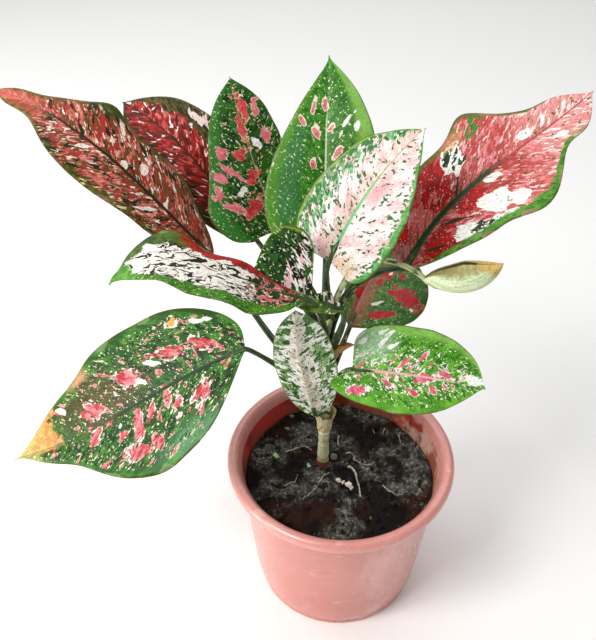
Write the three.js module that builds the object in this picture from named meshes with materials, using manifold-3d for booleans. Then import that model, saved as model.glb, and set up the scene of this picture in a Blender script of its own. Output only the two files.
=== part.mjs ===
// A potted Chinese evergreen (Aglaonema): a cane with broad leaves and one flower bract in a plastic pot.
// Millimetres, +Z up. The origin is the centre of the pot's flat foot. +X is the plant's right, -Y its front.

import * as THREE from 'three';
import { mergeVertices } from 'three/addons/utils/BufferGeometryUtils.js';
import Module from 'manifold-3d';

const wasm = await Module();
wasm.setup();

// ---------- driving dimensions ----------

const GAP = 0.3; // clearance between two pieces that touch on the real plant
const AROUND = 40; // facets round the pot and the soil

const POT = {
  height: 125,
  rimRadius: 80,
  rimDepth: 6.5,
  lipRadius: 71.5, // inner edge of the rounded rim
  neckRadius: 69.5, // inside, just below the rim
  wall: 4,
  footRadius: 59.5,
  footHeight: 6,
  floor: 5,
  padRadius: 30, // flat centre of the underside
  channelRadius: 48, // outer edge of the raised ring that drains the underside
  channelDepth: 2,
  drainRadius: 3.5,
  drains: 6,
};

const SOIL = { level: 102, lean: 0.035, lumps: 1.6, clods: 0.8, mound: 3, rings: 12 };

const STEM = {
  root: [-12, 8], // place of the cane's axis at the soil
  crown: [-11, 0], // place of the axis at the top
  bottom: 74,
  top: 250,
  radius: 4.4,
  tipRadius: 2.6,
  scar: 0.6, // how far a leaf scar stands out
  scarHeight: 3.2,
  scarSpacing: 13,
  sides: 10,
};

const PETIOLE = {
  sheath: [4.2, 2.3], // half width and half height where it clasps the cane
  neck: [1.7, 1.6], // and under the blade
  thinned: 0.6, // share of the way at which it is down to the neck's size
  leaving: 0.4, // share of the way, straight across, that its first curve takes, where the leaf states none
  arriving: 0.18, // and its last
  buried: 14, // how far it runs on under the blade
  steps: 8,
  sides: 7,
};

const BLADE = {
  thickness: 0.8,
  rib: 1.5, // extra depth of the midrib at the blade's base
  ribShare: 0.1, // share of the half width that the midrib takes
  stations: 14,
  crowding: 0.45, // how much closer the stations stand towards both ends
  columns: [-1, -0.62, -0.27, -0.06, 0.06, 0.27, 0.62, 1], // across the blade, as shares of the half width
  bluntest: 0.35, // least half width, at the two ends
  lobeStart: 0.015, // share of the length over which a lobe swings back from the neck
  lobeEnd: 0.25, // share of the length by which it has died away
  tip: 0.05, // share of the length over which the point is drawn out
  rippleShift: 0.3, // share of a wave by which the right margin runs ahead
};

// Each leaf leaves the cane at height node, at the slope leave. Its neck lies reach out along heading and
// rise above the node. From there the midrib runs for length, with the compass direction turn, the slope
// pitch and the twist roll, each in degrees at its base, middle and tip. Direction 0 is +X and 90 is +Y.
// The pairs are for the left and right half, seen from the neck. width is the half width, widest the share of
// the length where it is reached, fullness how fast the half narrows from there, and lobe how far its base
// reaches back past the neck. lift is how far it rises from flat, in degrees at the midrib and at the margin.
// Each swell, on side 0 or 1, widens the margin at a share of the length, over a spread, by an amount.
// ripple is the height, number and phase of the waves along the margin. leaving and arriving, where they are
// given, stand in for the petiole's own.
const LEAVES = {
  leaf_front: {
    node: 160, heading: 240, leave: 70, reach: 14, rise: 10, length: 100,
    turn: [220, 222, 230], pitch: [76, 78, 92], roll: [-50, -50, -50],
    width: [22, 16], widest: [0.5, 0.5], fullness: [0.9, 0.9], lobe: [0, 0], lift: [[8, 0], [8, 0]],
    swells: [], ripple: [1, 2, 0],
  },
  leaf_right_front: {
    node: 176, heading: 308, leave: 62, reach: 24, rise: 42, length: 81,
    turn: [350, 348, 342], pitch: [4, 0, -2], roll: [-15, -20, -10],
    width: [31, 27], widest: [0.36, 0.4], fullness: [0.65, 1.4], lobe: [2, 17], lift: [[20, 10], [8, -10]],
    swells: [], ripple: [1, 2, 0],
  },
  leaf_left_lower: {
    node: 168, heading: 182, leave: 60, leaving: 0.3, arriving: 0.05, reach: 52, rise: 51, length: 166,
    turn: [190, 196, 192], pitch: [-18, -26, -8], roll: [15, 20, 15],
    width: [52, 53], widest: [0.42, 0.38], fullness: [2.3, 1.5], lobe: [0, 6], lift: [[8, 0], [8, 0]],
    swells: [[0, 0.8, 0.12, -0.3]], ripple: [2, 3, 0.3],
  },
  leaf_right_middle: {
    node: 192, heading: 33, leave: 62, reach: 17, rise: 38, length: 84,
    turn: [72, 66, 60], pitch: [12, 6, 0], roll: [0, 0, 0],
    width: [14, 42], widest: [0.5, 0.36], fullness: [1.2, 1.0], lobe: [0, 0], lift: [[40, 10], [6, 0]],
    swells: [], ripple: [1, 2, 0],
  },
  leaf_left_upper: {
    node: 184, heading: 176, leave: 38, reach: 68, rise: 102, length: 157,
    turn: [186, 168, 152], pitch: [52, 43, -2], roll: [15, 28, 20],
    width: [23, 22], widest: [0.5, 0.38], fullness: [1.3, 1.5], lobe: [0, 0], lift: [[12, 0], [12, 0]],
    swells: [[0, 0.84, 0.1, -0.5], [1, 0.62, 0.06, 0.25], [1, 0.84, 0.08, -0.3]], ripple: [2, 3, 0.1],
  },
  leaf_left_middle: {
    node: 208, heading: 237, leave: 82, reach: 32, rise: 74, length: 112,
    turn: [192, 188, 190], pitch: [22, 22, -46], roll: [10, 14, 10],
    width: [21, 10], widest: [0.36, 0.6], fullness: [1.7, 1.1], lobe: [0, 0], lift: [[-8, 0], [12, 30]],
    swells: [[1, 0.72, 0.14, 0.8], [1, 0.93, 0.05, -0.5]], ripple: [2, 3, 0],
  },
  leaf_front_small: {
    node: 214, heading: 288, leave: 62, reach: 17, rise: 51, length: 56,
    turn: [190, 180, 170], pitch: [36, 25, 8], roll: [0, 0, 0],
    width: [9, 37], widest: [0.45, 0.72], fullness: [1.0, 0.9], lobe: [0, 0], lift: [[-40, -20], [78, 74]],
    swells: [[1, 0.34, 0.18, -0.9], [1, 0.08, 0.1, -0.6]], ripple: [1, 2, 0],
  },
  leaf_left_back: {
    node: 218, heading: 131, leave: 62, reach: 69, rise: 49, length: 124,
    turn: [160, 150, 150], pitch: [54, 40, 10], roll: [15, 20, 15],
    width: [28, 31], widest: [0.5, 0.42], fullness: [1.2, 1.0], lobe: [0, 0], lift: [[10, 0], [10, 0]],
    swells: [], ripple: [1.5, 2, 0.4],
  },
  leaf_right_upper: {
    node: 226, heading: 14, leave: 84, leaving: 0.95, arriving: 0, reach: 47, rise: 48, length: 146,
    turn: [46, 16, 24], pitch: [56, 38, 36], roll: [-10, -22, -15],
    width: [32, 34], widest: [0.42, 0.52], fullness: [1.3, 1.4], lobe: [0, 0], lift: [[10, 0], [10, 0]],
    swells: [[0, 0.56, 0.08, 0.28], [0, 0.78, 0.1, -0.2], [1, 0.6, 0.12, 0.22], [1, 0.8, 0.08, -0.3]],
    ripple: [1.5, 3, 0.5],
  },
  leaf_top: {
    node: 232, heading: 100, leave: 62, reach: 16, rise: 58, length: 110,
    turn: [92, 88, 86], pitch: [60, 52, 44], roll: [0, 0, 0],
    width: [36, 31], widest: [0.22, 0.38], fullness: [1.5, 1.3], lobe: [4, 0], lift: [[12, 6], [10, 0]],
    swells: [], ripple: [1, 2, 0.6],
  },
  leaf_left_upright: {
    node: 236, heading: 134, leave: 62, reach: 45, rise: 52, length: 95,
    turn: [128, 122, 108], pitch: [58, 54, 50], roll: [0, 0, 0],
    width: [35, 23], widest: [0.2, 0.45], fullness: [0.9, 1.1], lobe: [0, 0], lift: [[10, 0], [4, 0]],
    swells: [[0, 0.22, 0.15, 0.16]], ripple: [1, 2, 0.2],
  },
  leaf_pale: {
    node: 246, heading: 254, leave: 62, reach: 5.5, rise: 46, length: 91,
    turn: [36, 24, 6], pitch: [62, 53, 44], roll: [-21, -25, -20],
    width: [30, 31], widest: [0.26, 0.34], fullness: [1.0, 1.0], lobe: [0, 8], lift: [[8, 0], [8, 0]],
    swells: [[0, 0.72, 0.13, 0.16]], ripple: [1, 2, 0.3],
  },
};

// The flower is a stalk and a rolled bract, measured as a leaf is. Its halves curl up until they almost meet.
const FLOWER = {
  node: 240, heading: 349, leave: 84, leaving: 0.85, arriving: 0.4, reach: 54, rise: 44, length: 53,
  turn: [345, 355, 355], pitch: [-35, 16, 85], roll: [0, 0, 0],
  width: [30, 30], widest: [0.75, 0.75], fullness: [1.3, 1.3], lobe: [0, 0], lift: [[5, 160], [5, 160]],
  swells: [], ripple: [0, 1, 0],
};

// ---------- small helpers ----------

const TURN = 2 * Math.PI;
const rad = THREE.MathUtils.degToRad;
const mix = THREE.MathUtils.lerp;
const UP = new THREE.Vector3(0, 0, 1);

/** The value at share u of the way along, of a smooth run through three values: first, middle and last. */
function bend([first, middle, last], u) {
  return first * (1 - u) * (1 - 2 * u) + 4 * middle * u * (1 - u) + last * u * (2 * u - 1);
}

/** A unit vector at a compass heading and a slope above the horizontal, both in degrees. */
function direction(heading, pitch) {
  return new THREE.Vector3(Math.cos(rad(pitch)), 0, Math.sin(rad(pitch))).applyAxisAngle(UP, rad(heading));
}

/** A closed solid from a list of points and triangles. */
function solidOf(points, triangles) {
  const geometry = new THREE.BufferGeometry();
  const numbers = points.flatMap((point) => point.toArray());
  geometry.setAttribute('position', new THREE.Float32BufferAttribute(numbers, 3));
  geometry.setIndex(triangles.flat());
  return solidFrom(geometry);
}

/** A closed solid from a closed geometry, with triangles that have closed up left out. */
function solidFrom(geometry) {
  const bare = geometry.clone();
  bare.deleteAttribute('normal');
  bare.deleteAttribute('uv');
  const merged = mergeVertices(bare, 1e-4);
  const index = merged.index.array;
  const open = [];
  for (let i = 0; i < index.length; i += 3) {
    const [a, b, c] = index.slice(i, i + 3);
    if (a !== b && b !== c && c !== a) open.push(a, b, c);
  }
  const vertProperties = Float32Array.from(merged.attributes.position.array);
  const triVerts = Uint32Array.from(open);
  return new wasm.Manifold(new wasm.Mesh({ numProp: 3, vertProperties, triVerts }));
}

/** The triangles of a solid, ready to be shown. */
function geometryOf(solid) {
  const { vertProperties, triVerts } = solid.getMesh();
  const geometry = new THREE.BufferGeometry();
  geometry.setAttribute('position', new THREE.Float32BufferAttribute(vertProperties, 3));
  geometry.setIndex(Array.from(triVerts));
  geometry.computeVertexNormals();
  return geometry;
}

/** Joins rings of equal point count into one closed skin, with a fan over the first and the last ring. */
function skinOver(rings) {
  const count = rings[0].length;
  const points = rings.flat();
  const triangles = [];
  for (let r = 0; r + 1 < rings.length; r += 1) {
    for (let s = 0; s < count; s += 1) {
      const [here, next] = [r * count + s, r * count + ((s + 1) % count)];
      triangles.push([here, next, next + count]);
      triangles.push([here, next + count, here + count]);
    }
  }
  const centreOf = (ring) => ring.reduce((sum, p) => sum.add(p), new THREE.Vector3()).divideScalar(count);
  const last = (rings.length - 1) * count;
  points.push(centreOf(rings[0]), centreOf(rings.at(-1)));
  for (let s = 0; s < count; s += 1) {
    const next = (s + 1) % count;
    triangles.push([next, s, points.length - 2], [last + s, last + next, points.length - 1]);
  }
  return solidOf(points, triangles);
}

/** A closed tube along a list of points. sizeAt gives its oval's half width and half height at a share. */
function tubeAlong(path, upward, sides, sizeAt) {
  const normal = upward.clone();
  const rings = path.map((at, i) => {
    const [before, after] = [path[Math.max(i - 1, 0)], path[Math.min(i + 1, path.length - 1)]];
    const tangent = after.clone().sub(before).normalize();
    normal.addScaledVector(tangent, -normal.dot(tangent)).normalize();
    const left = normal.clone().cross(tangent);
    const [wide, high] = sizeAt(i / (path.length - 1));
    return Array.from({ length: sides }, (_, s) => {
      const [aside, raised] = [wide * Math.cos((TURN * s) / sides), high * Math.sin((TURN * s) / sides)];
      return at.clone().addScaledVector(left, aside).addScaledVector(normal, raised);
    });
  });
  return skinOver(rings);
}

// ---------- pot ----------

/** Radius of the pot's inside wall at a height below the rim. */
function innerRadiusAt(z) {
  const share = (z - POT.floor) / (POT.height - POT.rimDepth - 1 - POT.floor);
  return mix(POT.footRadius - POT.wall, POT.neckRadius, share);
}

function makePot() {
  const { height, rimRadius, rimDepth, lipRadius, neckRadius, wall, footRadius, footHeight } = POT;
  const { padRadius, channelRadius } = POT;
  const rimBottom = height - rimDepth;
  const crest = (rimRadius + lipRadius) / 2;
  const profile = [
    [0, 0],
    [padRadius, 0],
    [padRadius + 1, POT.channelDepth],
    [channelRadius - 1, POT.channelDepth],
    [channelRadius, 0],
    [footRadius - 1, 0],
    [footRadius, 1],
    [footRadius, footHeight],
    [footRadius + 0.8, footHeight + 0.6],
    [footRadius + 2, footHeight + 6],
    [footRadius + 3.4, footHeight + 16],
    [neckRadius + wall / 2, rimBottom - 1],
    [rimRadius - 0.6, rimBottom],
    [rimRadius, rimBottom + 1.8],
    [rimRadius - 0.5, height - 2],
    [crest + 1.8, height - 0.3],
    [crest, height],
    [crest - 2, height - 0.4],
    [lipRadius + 0.6, height - 2],
    [neckRadius, rimBottom - 1],
    [innerRadiusAt(POT.floor), POT.floor],
    [0, POT.floor],
  ].map(([r, z]) => new THREE.Vector2(r, z));
  const shell = new THREE.LatheGeometry(profile, AROUND).rotateX(Math.PI / 2);
  let pot = solidFrom(shell);
  const drain = new THREE.CylinderGeometry(POT.drainRadius, POT.drainRadius, 4 * POT.floor, 12);
  drain.rotateX(Math.PI / 2).translate((padRadius + channelRadius) / 2, 0, 0);
  for (let i = 0; i < POT.drains; i += 1) {
    pot = pot.subtract(solidFrom(drain.clone().rotateZ((TURN * (i + 0.5)) / POT.drains)));
  }
  return pot;
}

// ---------- soil ----------

/** Height of the soil's lumpy top at a place. */
function soilHeight(x, y) {
  const wide = Math.sin(x / 9 + 0.8) * Math.cos(y / 11 - 0.5);
  const fine = Math.sin(x / 4.3 + 1.1 * Math.sin(y / 7)) * Math.cos(y / 5.2 + 1.3 * Math.cos(x / 8));
  const lumps = SOIL.lumps * wide + SOIL.clods * fine;
  const mound = SOIL.mound * Math.exp(-((x - STEM.root[0]) ** 2 + (y - STEM.root[1]) ** 2) / 500);
  return SOIL.level - SOIL.lean * x + lumps + mound;
}

function makeSoil(stemSpace) {
  const ringAt = (radius, heightOf) =>
    Array.from({ length: AROUND }, (_, s) => {
      const [x, y] = [radius * Math.cos((TURN * s) / AROUND), radius * Math.sin((TURN * s) / AROUND)];
      return new THREE.Vector3(x, y, heightOf(x, y));
    });
  const bottom = POT.floor + GAP;
  const sideRadius = (z) => innerRadiusAt(z) - GAP;
  const rings = [ringAt(sideRadius(bottom), () => bottom)];
  const edge = sideRadius(SOIL.level - 6);
  rings.push(ringAt(edge, () => SOIL.level - 6));
  for (let r = 0; r < SOIL.rings; r += 1) {
    rings.push(ringAt(edge * (1 - r / SOIL.rings), soilHeight));
  }
  return skinOver(rings).subtract(stemSpace);
}

// ---------- stem ----------

/** The cane's axis at a height. */
function stemAt(z) {
  const share = (z - SOIL.level) / (STEM.top - SOIL.level);
  const [x, y] = [0, 1].map((axis) => mix(STEM.root[axis], STEM.crown[axis], share));
  return new THREE.Vector3(x, y, z);
}

function makeStem(clearance) {
  const { bottom, top, radius, tipRadius, scar, scarHeight, scarSpacing, sides } = STEM;
  const heights = [bottom];
  for (let z = bottom + scarSpacing; z < top - scarSpacing / 2; z += scarSpacing) {
    heights.push(z - scarHeight / 2, z, z + scarHeight / 2);
  }
  heights.push(top - scarHeight, top);
  const path = [stemAt(bottom - clearance), ...heights.slice(1, -1).map(stemAt), stemAt(top + clearance)];
  const last = heights.length - 1;
  return tubeAlong(path, new THREE.Vector3(0, 1, 0), sides, (share) => {
    const i = Math.round(share * last);
    const onScar = i > 0 && i < last - 1 && i % 3 === 2;
    const taper = mix(radius, tipRadius, (heights[i] - bottom) / (top - bottom));
    const size = taper * (i === last ? 0.6 : 1) + (onScar ? scar : 0) + clearance;
    return [size, size];
  });
}

// ---------- leaves ----------

/** Frames along a blade's midrib: place, forward, left and upper-face directions at each station. */
function midrib(leaf, neck) {
  const frames = [];
  const at = neck.clone();
  const fine = 6; // steps between two stations
  let before = 0;
  for (let i = 0; i <= BLADE.stations; i += 1) {
    const even = i / BLADE.stations;
    const u = even - (BLADE.crowding * Math.sin(TURN * even)) / TURN;
    for (let k = 0; k < fine && i > 0; k += 1) {
      const half = mix(before, u, (k + 0.5) / fine);
      const step = (leaf.length * (u - before)) / fine;
      at.addScaledVector(direction(bend(leaf.turn, half), bend(leaf.pitch, half)), step);
    }
    before = u;
    const [turn, pitch, roll] = [leaf.turn, leaf.pitch, leaf.roll].map((bends) => bend(bends, u));
    const forward = direction(turn, pitch);
    const face = direction(turn, pitch + 90).applyAxisAngle(forward, -rad(roll));
    frames.push({ u, at: at.clone(), forward, face, left: face.clone().cross(forward) });
  }
  return frames;
}

/** Half width of one side of a blade at share u of its length. Side 0 is the left. */
function halfWidth(leaf, side, u) {
  const [widest, fullness] = [leaf.widest[side], leaf.fullness[side]];
  const rising = (u / widest) ** (fullness * widest);
  const falling = ((1 - u) / (1 - widest)) ** (fullness * (1 - widest));
  const point = 1 - Math.exp((u - 1) / BLADE.tip);
  let swelling = 1;
  for (const [onSide, at, spread, amount] of leaf.swells) {
    if (onSide === side) swelling += amount * Math.exp(-(((u - at) / spread) ** 2));
  }
  return Math.max(leaf.width[side] * rising * falling * point * swelling, BLADE.bluntest);
}

/** A blade's section at share u: how far back, aside and up its point at share v lies, and its slope. */
function sectionAt(leaf, u, v) {
  const side = v > 0 ? 0 : 1;
  const across = Math.abs(v);
  const half = halfWidth(leaf, side, u);
  const [atRib, atMargin] = leaf.lift[side];
  const angles = [0, 0.5, 1].map((share) => rad(mix(atRib, atMargin, share * across)));
  const mean = (f) => (f(angles[0]) + 4 * f(angles[1]) + f(angles[2])) / 6;
  const [height, crests, phase] = leaf.ripple;
  const swing = Math.sin(TURN * (crests * u + phase + BLADE.rippleShift * side));
  const wave = height * across ** 2 * Math.sin(Math.PI * u) * swing;
  const lobing = (1 - Math.exp(-u / BLADE.lobeStart)) * Math.max(0, 1 - (u / BLADE.lobeEnd) ** 2);
  return {
    back: leaf.lobe[side] * across * lobing,
    aside: Math.sign(v) * half * across * mean(Math.cos),
    raised: half * across * mean(Math.sin) + wave,
    slope: Math.sign(v) * angles[2],
  };
}

function makeBlade(leaf, frames) {
  const { columns, thickness, rib } = BLADE;
  const width = columns.length;
  const top = [];
  const under = [];
  for (const { u, at, forward, left, face } of frames) {
    for (const v of columns) {
      const { back, aside, raised, slope } = sectionAt(leaf, u, v);
      const depth = thickness + (Math.abs(v) < BLADE.ribShare ? rib * (1 - u) : 0);
      const point = at.clone().addScaledVector(forward, -back);
      point.addScaledVector(left, aside).addScaledVector(face, raised);
      const square = face.clone().multiplyScalar(Math.cos(slope)).addScaledVector(left, -Math.sin(slope));
      top.push(point);
      under.push(point.clone().addScaledVector(square, -depth));
    }
  }
  const triangles = [];
  const below = top.length;
  const quad = (a, b, c, d) => triangles.push([a, b, d], [b, c, d]);
  for (let i = 0; i + 1 < frames.length; i += 1) {
    const here = i * width;
    const next = here + width;
    for (let j = 0; j + 1 < width; j += 1) {
      quad(here + j, next + j, next + j + 1, here + j + 1);
      triangles.push([below + here + j, below + here + j + 1, below + next + j]);
      triangles.push([below + next + j, below + here + j + 1, below + next + j + 1]);
    }
    const edge = width - 1;
    quad(here + edge, next + edge, below + next + edge, below + here + edge);
    quad(next, here, below + here, below + next);
  }
  const end = (frames.length - 1) * width;
  for (let j = 0; j + 1 < width; j += 1) {
    quad(j, j + 1, below + j + 1, below + j);
    quad(end + j + 1, end + j, below + end + j, below + end + j + 1);
  }
  return solidOf([...top, ...under], triangles);
}

/** The petiole, from inside the cane to a little way under the blade, with a clearance all round. */
function makePetiole(leaf, neck, frames, clearance) {
  const { sheath, neck: thin, steps, sides, buried } = PETIOLE;
  const foot = stemAt(leaf.node);
  const span = foot.distanceTo(neck);
  const { leaving = PETIOLE.leaving, arriving = PETIOLE.arriving } = leaf;
  const out = foot.clone().addScaledVector(direction(leaf.heading, leaf.leave), leaving * span);
  const inTo = neck.clone().addScaledVector(frames[0].forward, -arriving * span);
  const path = new THREE.CubicBezierCurve3(foot, out, inTo, neck).getPoints(steps);
  const under = frames.filter(({ u }) => u > 0 && u * leaf.length < buried);
  path.push(...under.map(({ at, face }) => at.clone().addScaledVector(face, -0.9 * BLADE.thickness)));
  return tubeAlong(path, UP, sides, (share) => {
    const thinning = Math.min(share / PETIOLE.thinned, 1);
    return [0, 1].map((axis) => mix(sheath[axis], thin[axis], thinning) + clearance);
  });
}

/** The largest of the bodies that a cut leaves. */
function mainBody(solid) {
  return solid.decompose().reduce((best, body) => (body.volume() > best.volume() ? body : best));
}

/** A leaf cut clear of the space taken, and the space taken with this leaf's petiole added. */
function makeLeaf(leaf, taken) {
  const neck = stemAt(leaf.node).addScaledVector(UP, leaf.rise);
  neck.addScaledVector(direction(leaf.heading, 0), leaf.reach);
  const frames = midrib(leaf, neck);
  const whole = makeBlade(leaf, frames).add(makePetiole(leaf, neck, frames, 0));
  return [mainBody(whole.subtract(taken)), taken.add(makePetiole(leaf, neck, frames, GAP))];
}

// ---------- the plant ----------

const FINISH = {
  pot: { color: 0xe5a896, roughness: 0.35 },
  soil: { color: 0x1d1916, roughness: 0.95 },
  stem: { color: 0xb9b98a, roughness: 0.6 },
  leaf: { color: 0x4f7f3f, roughness: 0.45 },
  flower: { color: 0xd5dcb0, roughness: 0.5 },
};

const group = new THREE.Group();

function place(name, solid, finish) {
  const material = new THREE.MeshStandardMaterial({ ...FINISH[finish], metalness: 0 });
  const mesh = new THREE.Mesh(geometryOf(solid), material);
  mesh.name = name;
  group.add(mesh);
}

const stemSpace = makeStem(GAP);
place('pot', makePot(), 'pot');
place('soil', makeSoil(stemSpace), 'soil');
place('stem', makeStem(0), 'stem');

// From the oldest leaf up, each is cut clear of the cane and of the older petioles that its own lies on.
let taken = stemSpace;
for (const [name, spec] of [...Object.entries(LEAVES), ['flower', FLOWER]]) {
  let solid;
  [solid, taken] = makeLeaf(spec, taken);
  place(name, solid, name === 'flower' ? 'flower' : 'leaf');
}

export default group;
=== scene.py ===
"""Looks of a potted Chinese evergreen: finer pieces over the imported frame, their paint, light and camera.

Sizes in the tables and in the shape functions are millimetres, and meshes are made in metres.
"""

import math
import random

import bmesh
import bpy
import numpy as np
from mathutils import Euler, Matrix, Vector, noise


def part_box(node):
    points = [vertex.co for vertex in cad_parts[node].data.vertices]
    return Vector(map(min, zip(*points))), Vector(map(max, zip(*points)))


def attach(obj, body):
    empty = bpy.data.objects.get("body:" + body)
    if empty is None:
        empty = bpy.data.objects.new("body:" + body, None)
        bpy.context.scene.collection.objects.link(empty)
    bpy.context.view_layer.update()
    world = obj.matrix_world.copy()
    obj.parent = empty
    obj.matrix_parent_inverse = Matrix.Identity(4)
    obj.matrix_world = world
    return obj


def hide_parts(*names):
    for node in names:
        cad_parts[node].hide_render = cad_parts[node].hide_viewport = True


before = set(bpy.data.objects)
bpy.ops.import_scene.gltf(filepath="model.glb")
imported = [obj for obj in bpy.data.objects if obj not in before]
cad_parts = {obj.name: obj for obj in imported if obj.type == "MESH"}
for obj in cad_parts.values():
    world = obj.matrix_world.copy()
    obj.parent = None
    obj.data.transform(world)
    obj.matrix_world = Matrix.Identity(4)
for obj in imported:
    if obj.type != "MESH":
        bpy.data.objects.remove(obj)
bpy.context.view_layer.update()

MM = 0.001
TURN = 2 * math.pi

# ---------- driving dimensions, those of the solids except for the flower's ----------

GAP = 0.3  # between the soil and the pot

POT = dict(
    height=125, rim_radius=80, rim_depth=6.5, lip_radius=71.5, neck_radius=69.5, wall=4, foot_radius=59.5,
    foot_height=6, floor=5, pad_radius=30, channel_radius=48, channel_depth=2, drain_radius=3.5, drains=6,
)
SOIL = dict(level=102, lean=0.035, lumps=1.6, clods=0.8, mound=3)
STEM = dict(
    root=(-12, 8), crown=(-11, 0), bottom=74, top=250, radius=4.4, tip_radius=2.6, scar=0.6,
    scar_spacing=13,
)
PETIOLE = dict(sheath=(4.2, 2.3), neck=(1.7, 1.6), thinned=0.6, buried=14)
BLADE = dict(
    thickness=0.8, rib=1.5, bluntest=0.35, lobe_start=0.015, lobe_end=0.25, tip=0.05, ripple_shift=0.3,
)

# Each leaf leaves the cane at height node, at the slope leave. Its neck lies reach out along heading and
# rise above the node. leaving and arriving are how far the petiole runs straight at its two ends, as
# shares of the way between them. From the neck the midrib runs for length, with the compass direction
# turn, the slope pitch and the twist roll, each in degrees at its base, middle and tip. The pairs are for
# the left and the right half, seen from the neck: width is the half width, widest the share of the length
# where it is reached, fullness how fast the half narrows from there, lobe how far its base reaches back
# past the neck, and lift how far it rises from flat, in degrees at the midrib and at the margin. Each
# swell, on side 0 or 1, widens the margin at a share of the length, over a spread, by an amount. ripple
# is the height, number and phase of the waves along the margin.


def shaped(**given):
    """A leaf's dimensions: those given, and the common ones for the rest."""
    common = dict(
        leave=62, leaving=0.4, arriving=0.18, roll=(0, 0, 0), lobe=(0, 0), swells=(), ripple=(1, 2, 0),
    )
    return {**common, **given}


LEAVES = {
    "leaf_front": shaped(
        node=160, heading=240, leave=70, reach=14, rise=10, length=100, turn=(220, 222, 230),
        pitch=(76, 78, 92), roll=(-50, -50, -50), width=(22, 16), widest=(0.5, 0.5),
        fullness=(0.9, 0.9), lift=((8, 0), (8, 0)),
    ),
    "leaf_right_front": shaped(
        node=176, heading=308, reach=24, rise=42, length=81, turn=(350, 348, 342), pitch=(4, 0, -2),
        roll=(-15, -20, -10), width=(31, 27), widest=(0.36, 0.4), fullness=(0.65, 1.4),
        lobe=(2, 17), lift=((20, 10), (8, -10)),
    ),
    "leaf_left_lower": shaped(
        node=168, heading=182, leave=60, leaving=0.3, arriving=0.05, reach=52, rise=51, length=166,
        turn=(190, 196, 192), pitch=(-18, -26, -8), roll=(15, 20, 15), width=(52, 53), widest=(0.42, 0.38),
        fullness=(2.3, 1.5), lobe=(0, 6), lift=((8, 0), (8, 0)), swells=((0, 0.8, 0.12, -0.3),),
        ripple=(2, 3, 0.3),
    ),
    "leaf_right_middle": shaped(
        node=192, heading=33, reach=17, rise=38, length=84, turn=(72, 66, 60), pitch=(12, 6, 0),
        width=(14, 42), widest=(0.5, 0.36), fullness=(1.2, 1.0), lift=((40, 10), (6, 0)),
    ),
    "leaf_left_upper": shaped(
        node=184, heading=176, leave=38, reach=68, rise=102, length=157, turn=(186, 168, 152),
        pitch=(52, 43, -2), roll=(15, 28, 20), width=(23, 22), widest=(0.5, 0.38), fullness=(1.3, 1.5),
        lift=((12, 0), (12, 0)),
        swells=((0, 0.84, 0.1, -0.5), (1, 0.62, 0.06, 0.25), (1, 0.84, 0.08, -0.3)), ripple=(2, 3, 0.1),
    ),
    "leaf_left_middle": shaped(
        node=208, heading=237, leave=82, reach=32, rise=74, length=112, turn=(192, 188, 190),
        pitch=(22, 22, -46), roll=(10, 14, 10), width=(21, 10), widest=(0.36, 0.6), fullness=(1.7, 1.1),
        lift=((-8, 0), (12, 30)), swells=((1, 0.72, 0.14, 0.8), (1, 0.93, 0.05, -0.5)), ripple=(2, 3, 0),
    ),
    "leaf_front_small": shaped(
        node=214, heading=288, reach=17, rise=51, length=56, turn=(190, 180, 170), pitch=(36, 25, 8),
        width=(9, 37), widest=(0.45, 0.72), fullness=(1.0, 0.9), lift=((-40, -20), (78, 74)),
        swells=((1, 0.34, 0.18, -0.9), (1, 0.08, 0.1, -0.6)),
    ),
    "leaf_left_back": shaped(
        node=218, heading=131, reach=69, rise=49, length=124, turn=(160, 150, 150), pitch=(54, 40, 10),
        roll=(15, 20, 15), width=(28, 31), widest=(0.5, 0.42), fullness=(1.2, 1.0), lift=((10, 0), (10, 0)),
        ripple=(1.5, 2, 0.4),
    ),
    "leaf_right_upper": shaped(
        node=226, heading=14, leave=84, leaving=0.95, arriving=0, reach=47, rise=48, length=146,
        turn=(46, 16, 24), pitch=(56, 38, 36), roll=(-10, -22, -15), width=(32, 34), widest=(0.42, 0.52),
        fullness=(1.3, 1.4), lift=((10, 0), (10, 0)),
        swells=((0, 0.56, 0.08, 0.28), (0, 0.78, 0.1, -0.2), (1, 0.6, 0.12, 0.22), (1, 0.8, 0.08, -0.3)),
        ripple=(1.5, 3, 0.5),
    ),
    "leaf_top": shaped(
        node=232, heading=100, reach=16, rise=58, length=110, turn=(92, 88, 86), pitch=(60, 52, 44),
        width=(36, 31), widest=(0.22, 0.38), fullness=(1.5, 1.3), lobe=(4, 0), lift=((12, 6), (10, 0)),
        ripple=(1, 2, 0.6),
    ),
    "leaf_left_upright": shaped(
        node=236, heading=134, reach=45, rise=52, length=95, turn=(128, 122, 108), pitch=(58, 54, 50),
        width=(35, 23), widest=(0.2, 0.45), fullness=(0.9, 1.1), lift=((10, 0), (4, 0)),
        swells=((0, 0.22, 0.15, 0.16),), ripple=(1, 2, 0.2),
    ),
    "leaf_pale": shaped(
        node=246, heading=254, reach=5.5, rise=46, length=91, turn=(36, 24, 6), pitch=(62, 53, 44),
        roll=(-21, -25, -20), width=(30, 31), widest=(0.26, 0.34), fullness=(1.0, 1.0), lobe=(0, 8),
        lift=((8, 0), (8, 0)), swells=((0, 0.72, 0.13, 0.16),), ripple=(1, 2, 0.3),
    ),
}

# The flower is a stalk and a rolled bract, measured as a leaf is. Its halves curl up until they meet, and
# it is fuller towards its neck than the solid, which leaves a slot there.
FLOWER = shaped(
    node=240, heading=349, leave=84, leaving=0.85, arriving=0.4, reach=54, rise=44, length=53,
    turn=(345, 355, 355), pitch=(-35, 16, 85), width=(27, 27), widest=(0.52, 0.52), fullness=(0.75, 0.75),
    lift=((5, 178), (5, 178)), ripple=(0, 1, 0),
)

# ---------- finer detail, which only the pieces here have ----------

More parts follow.
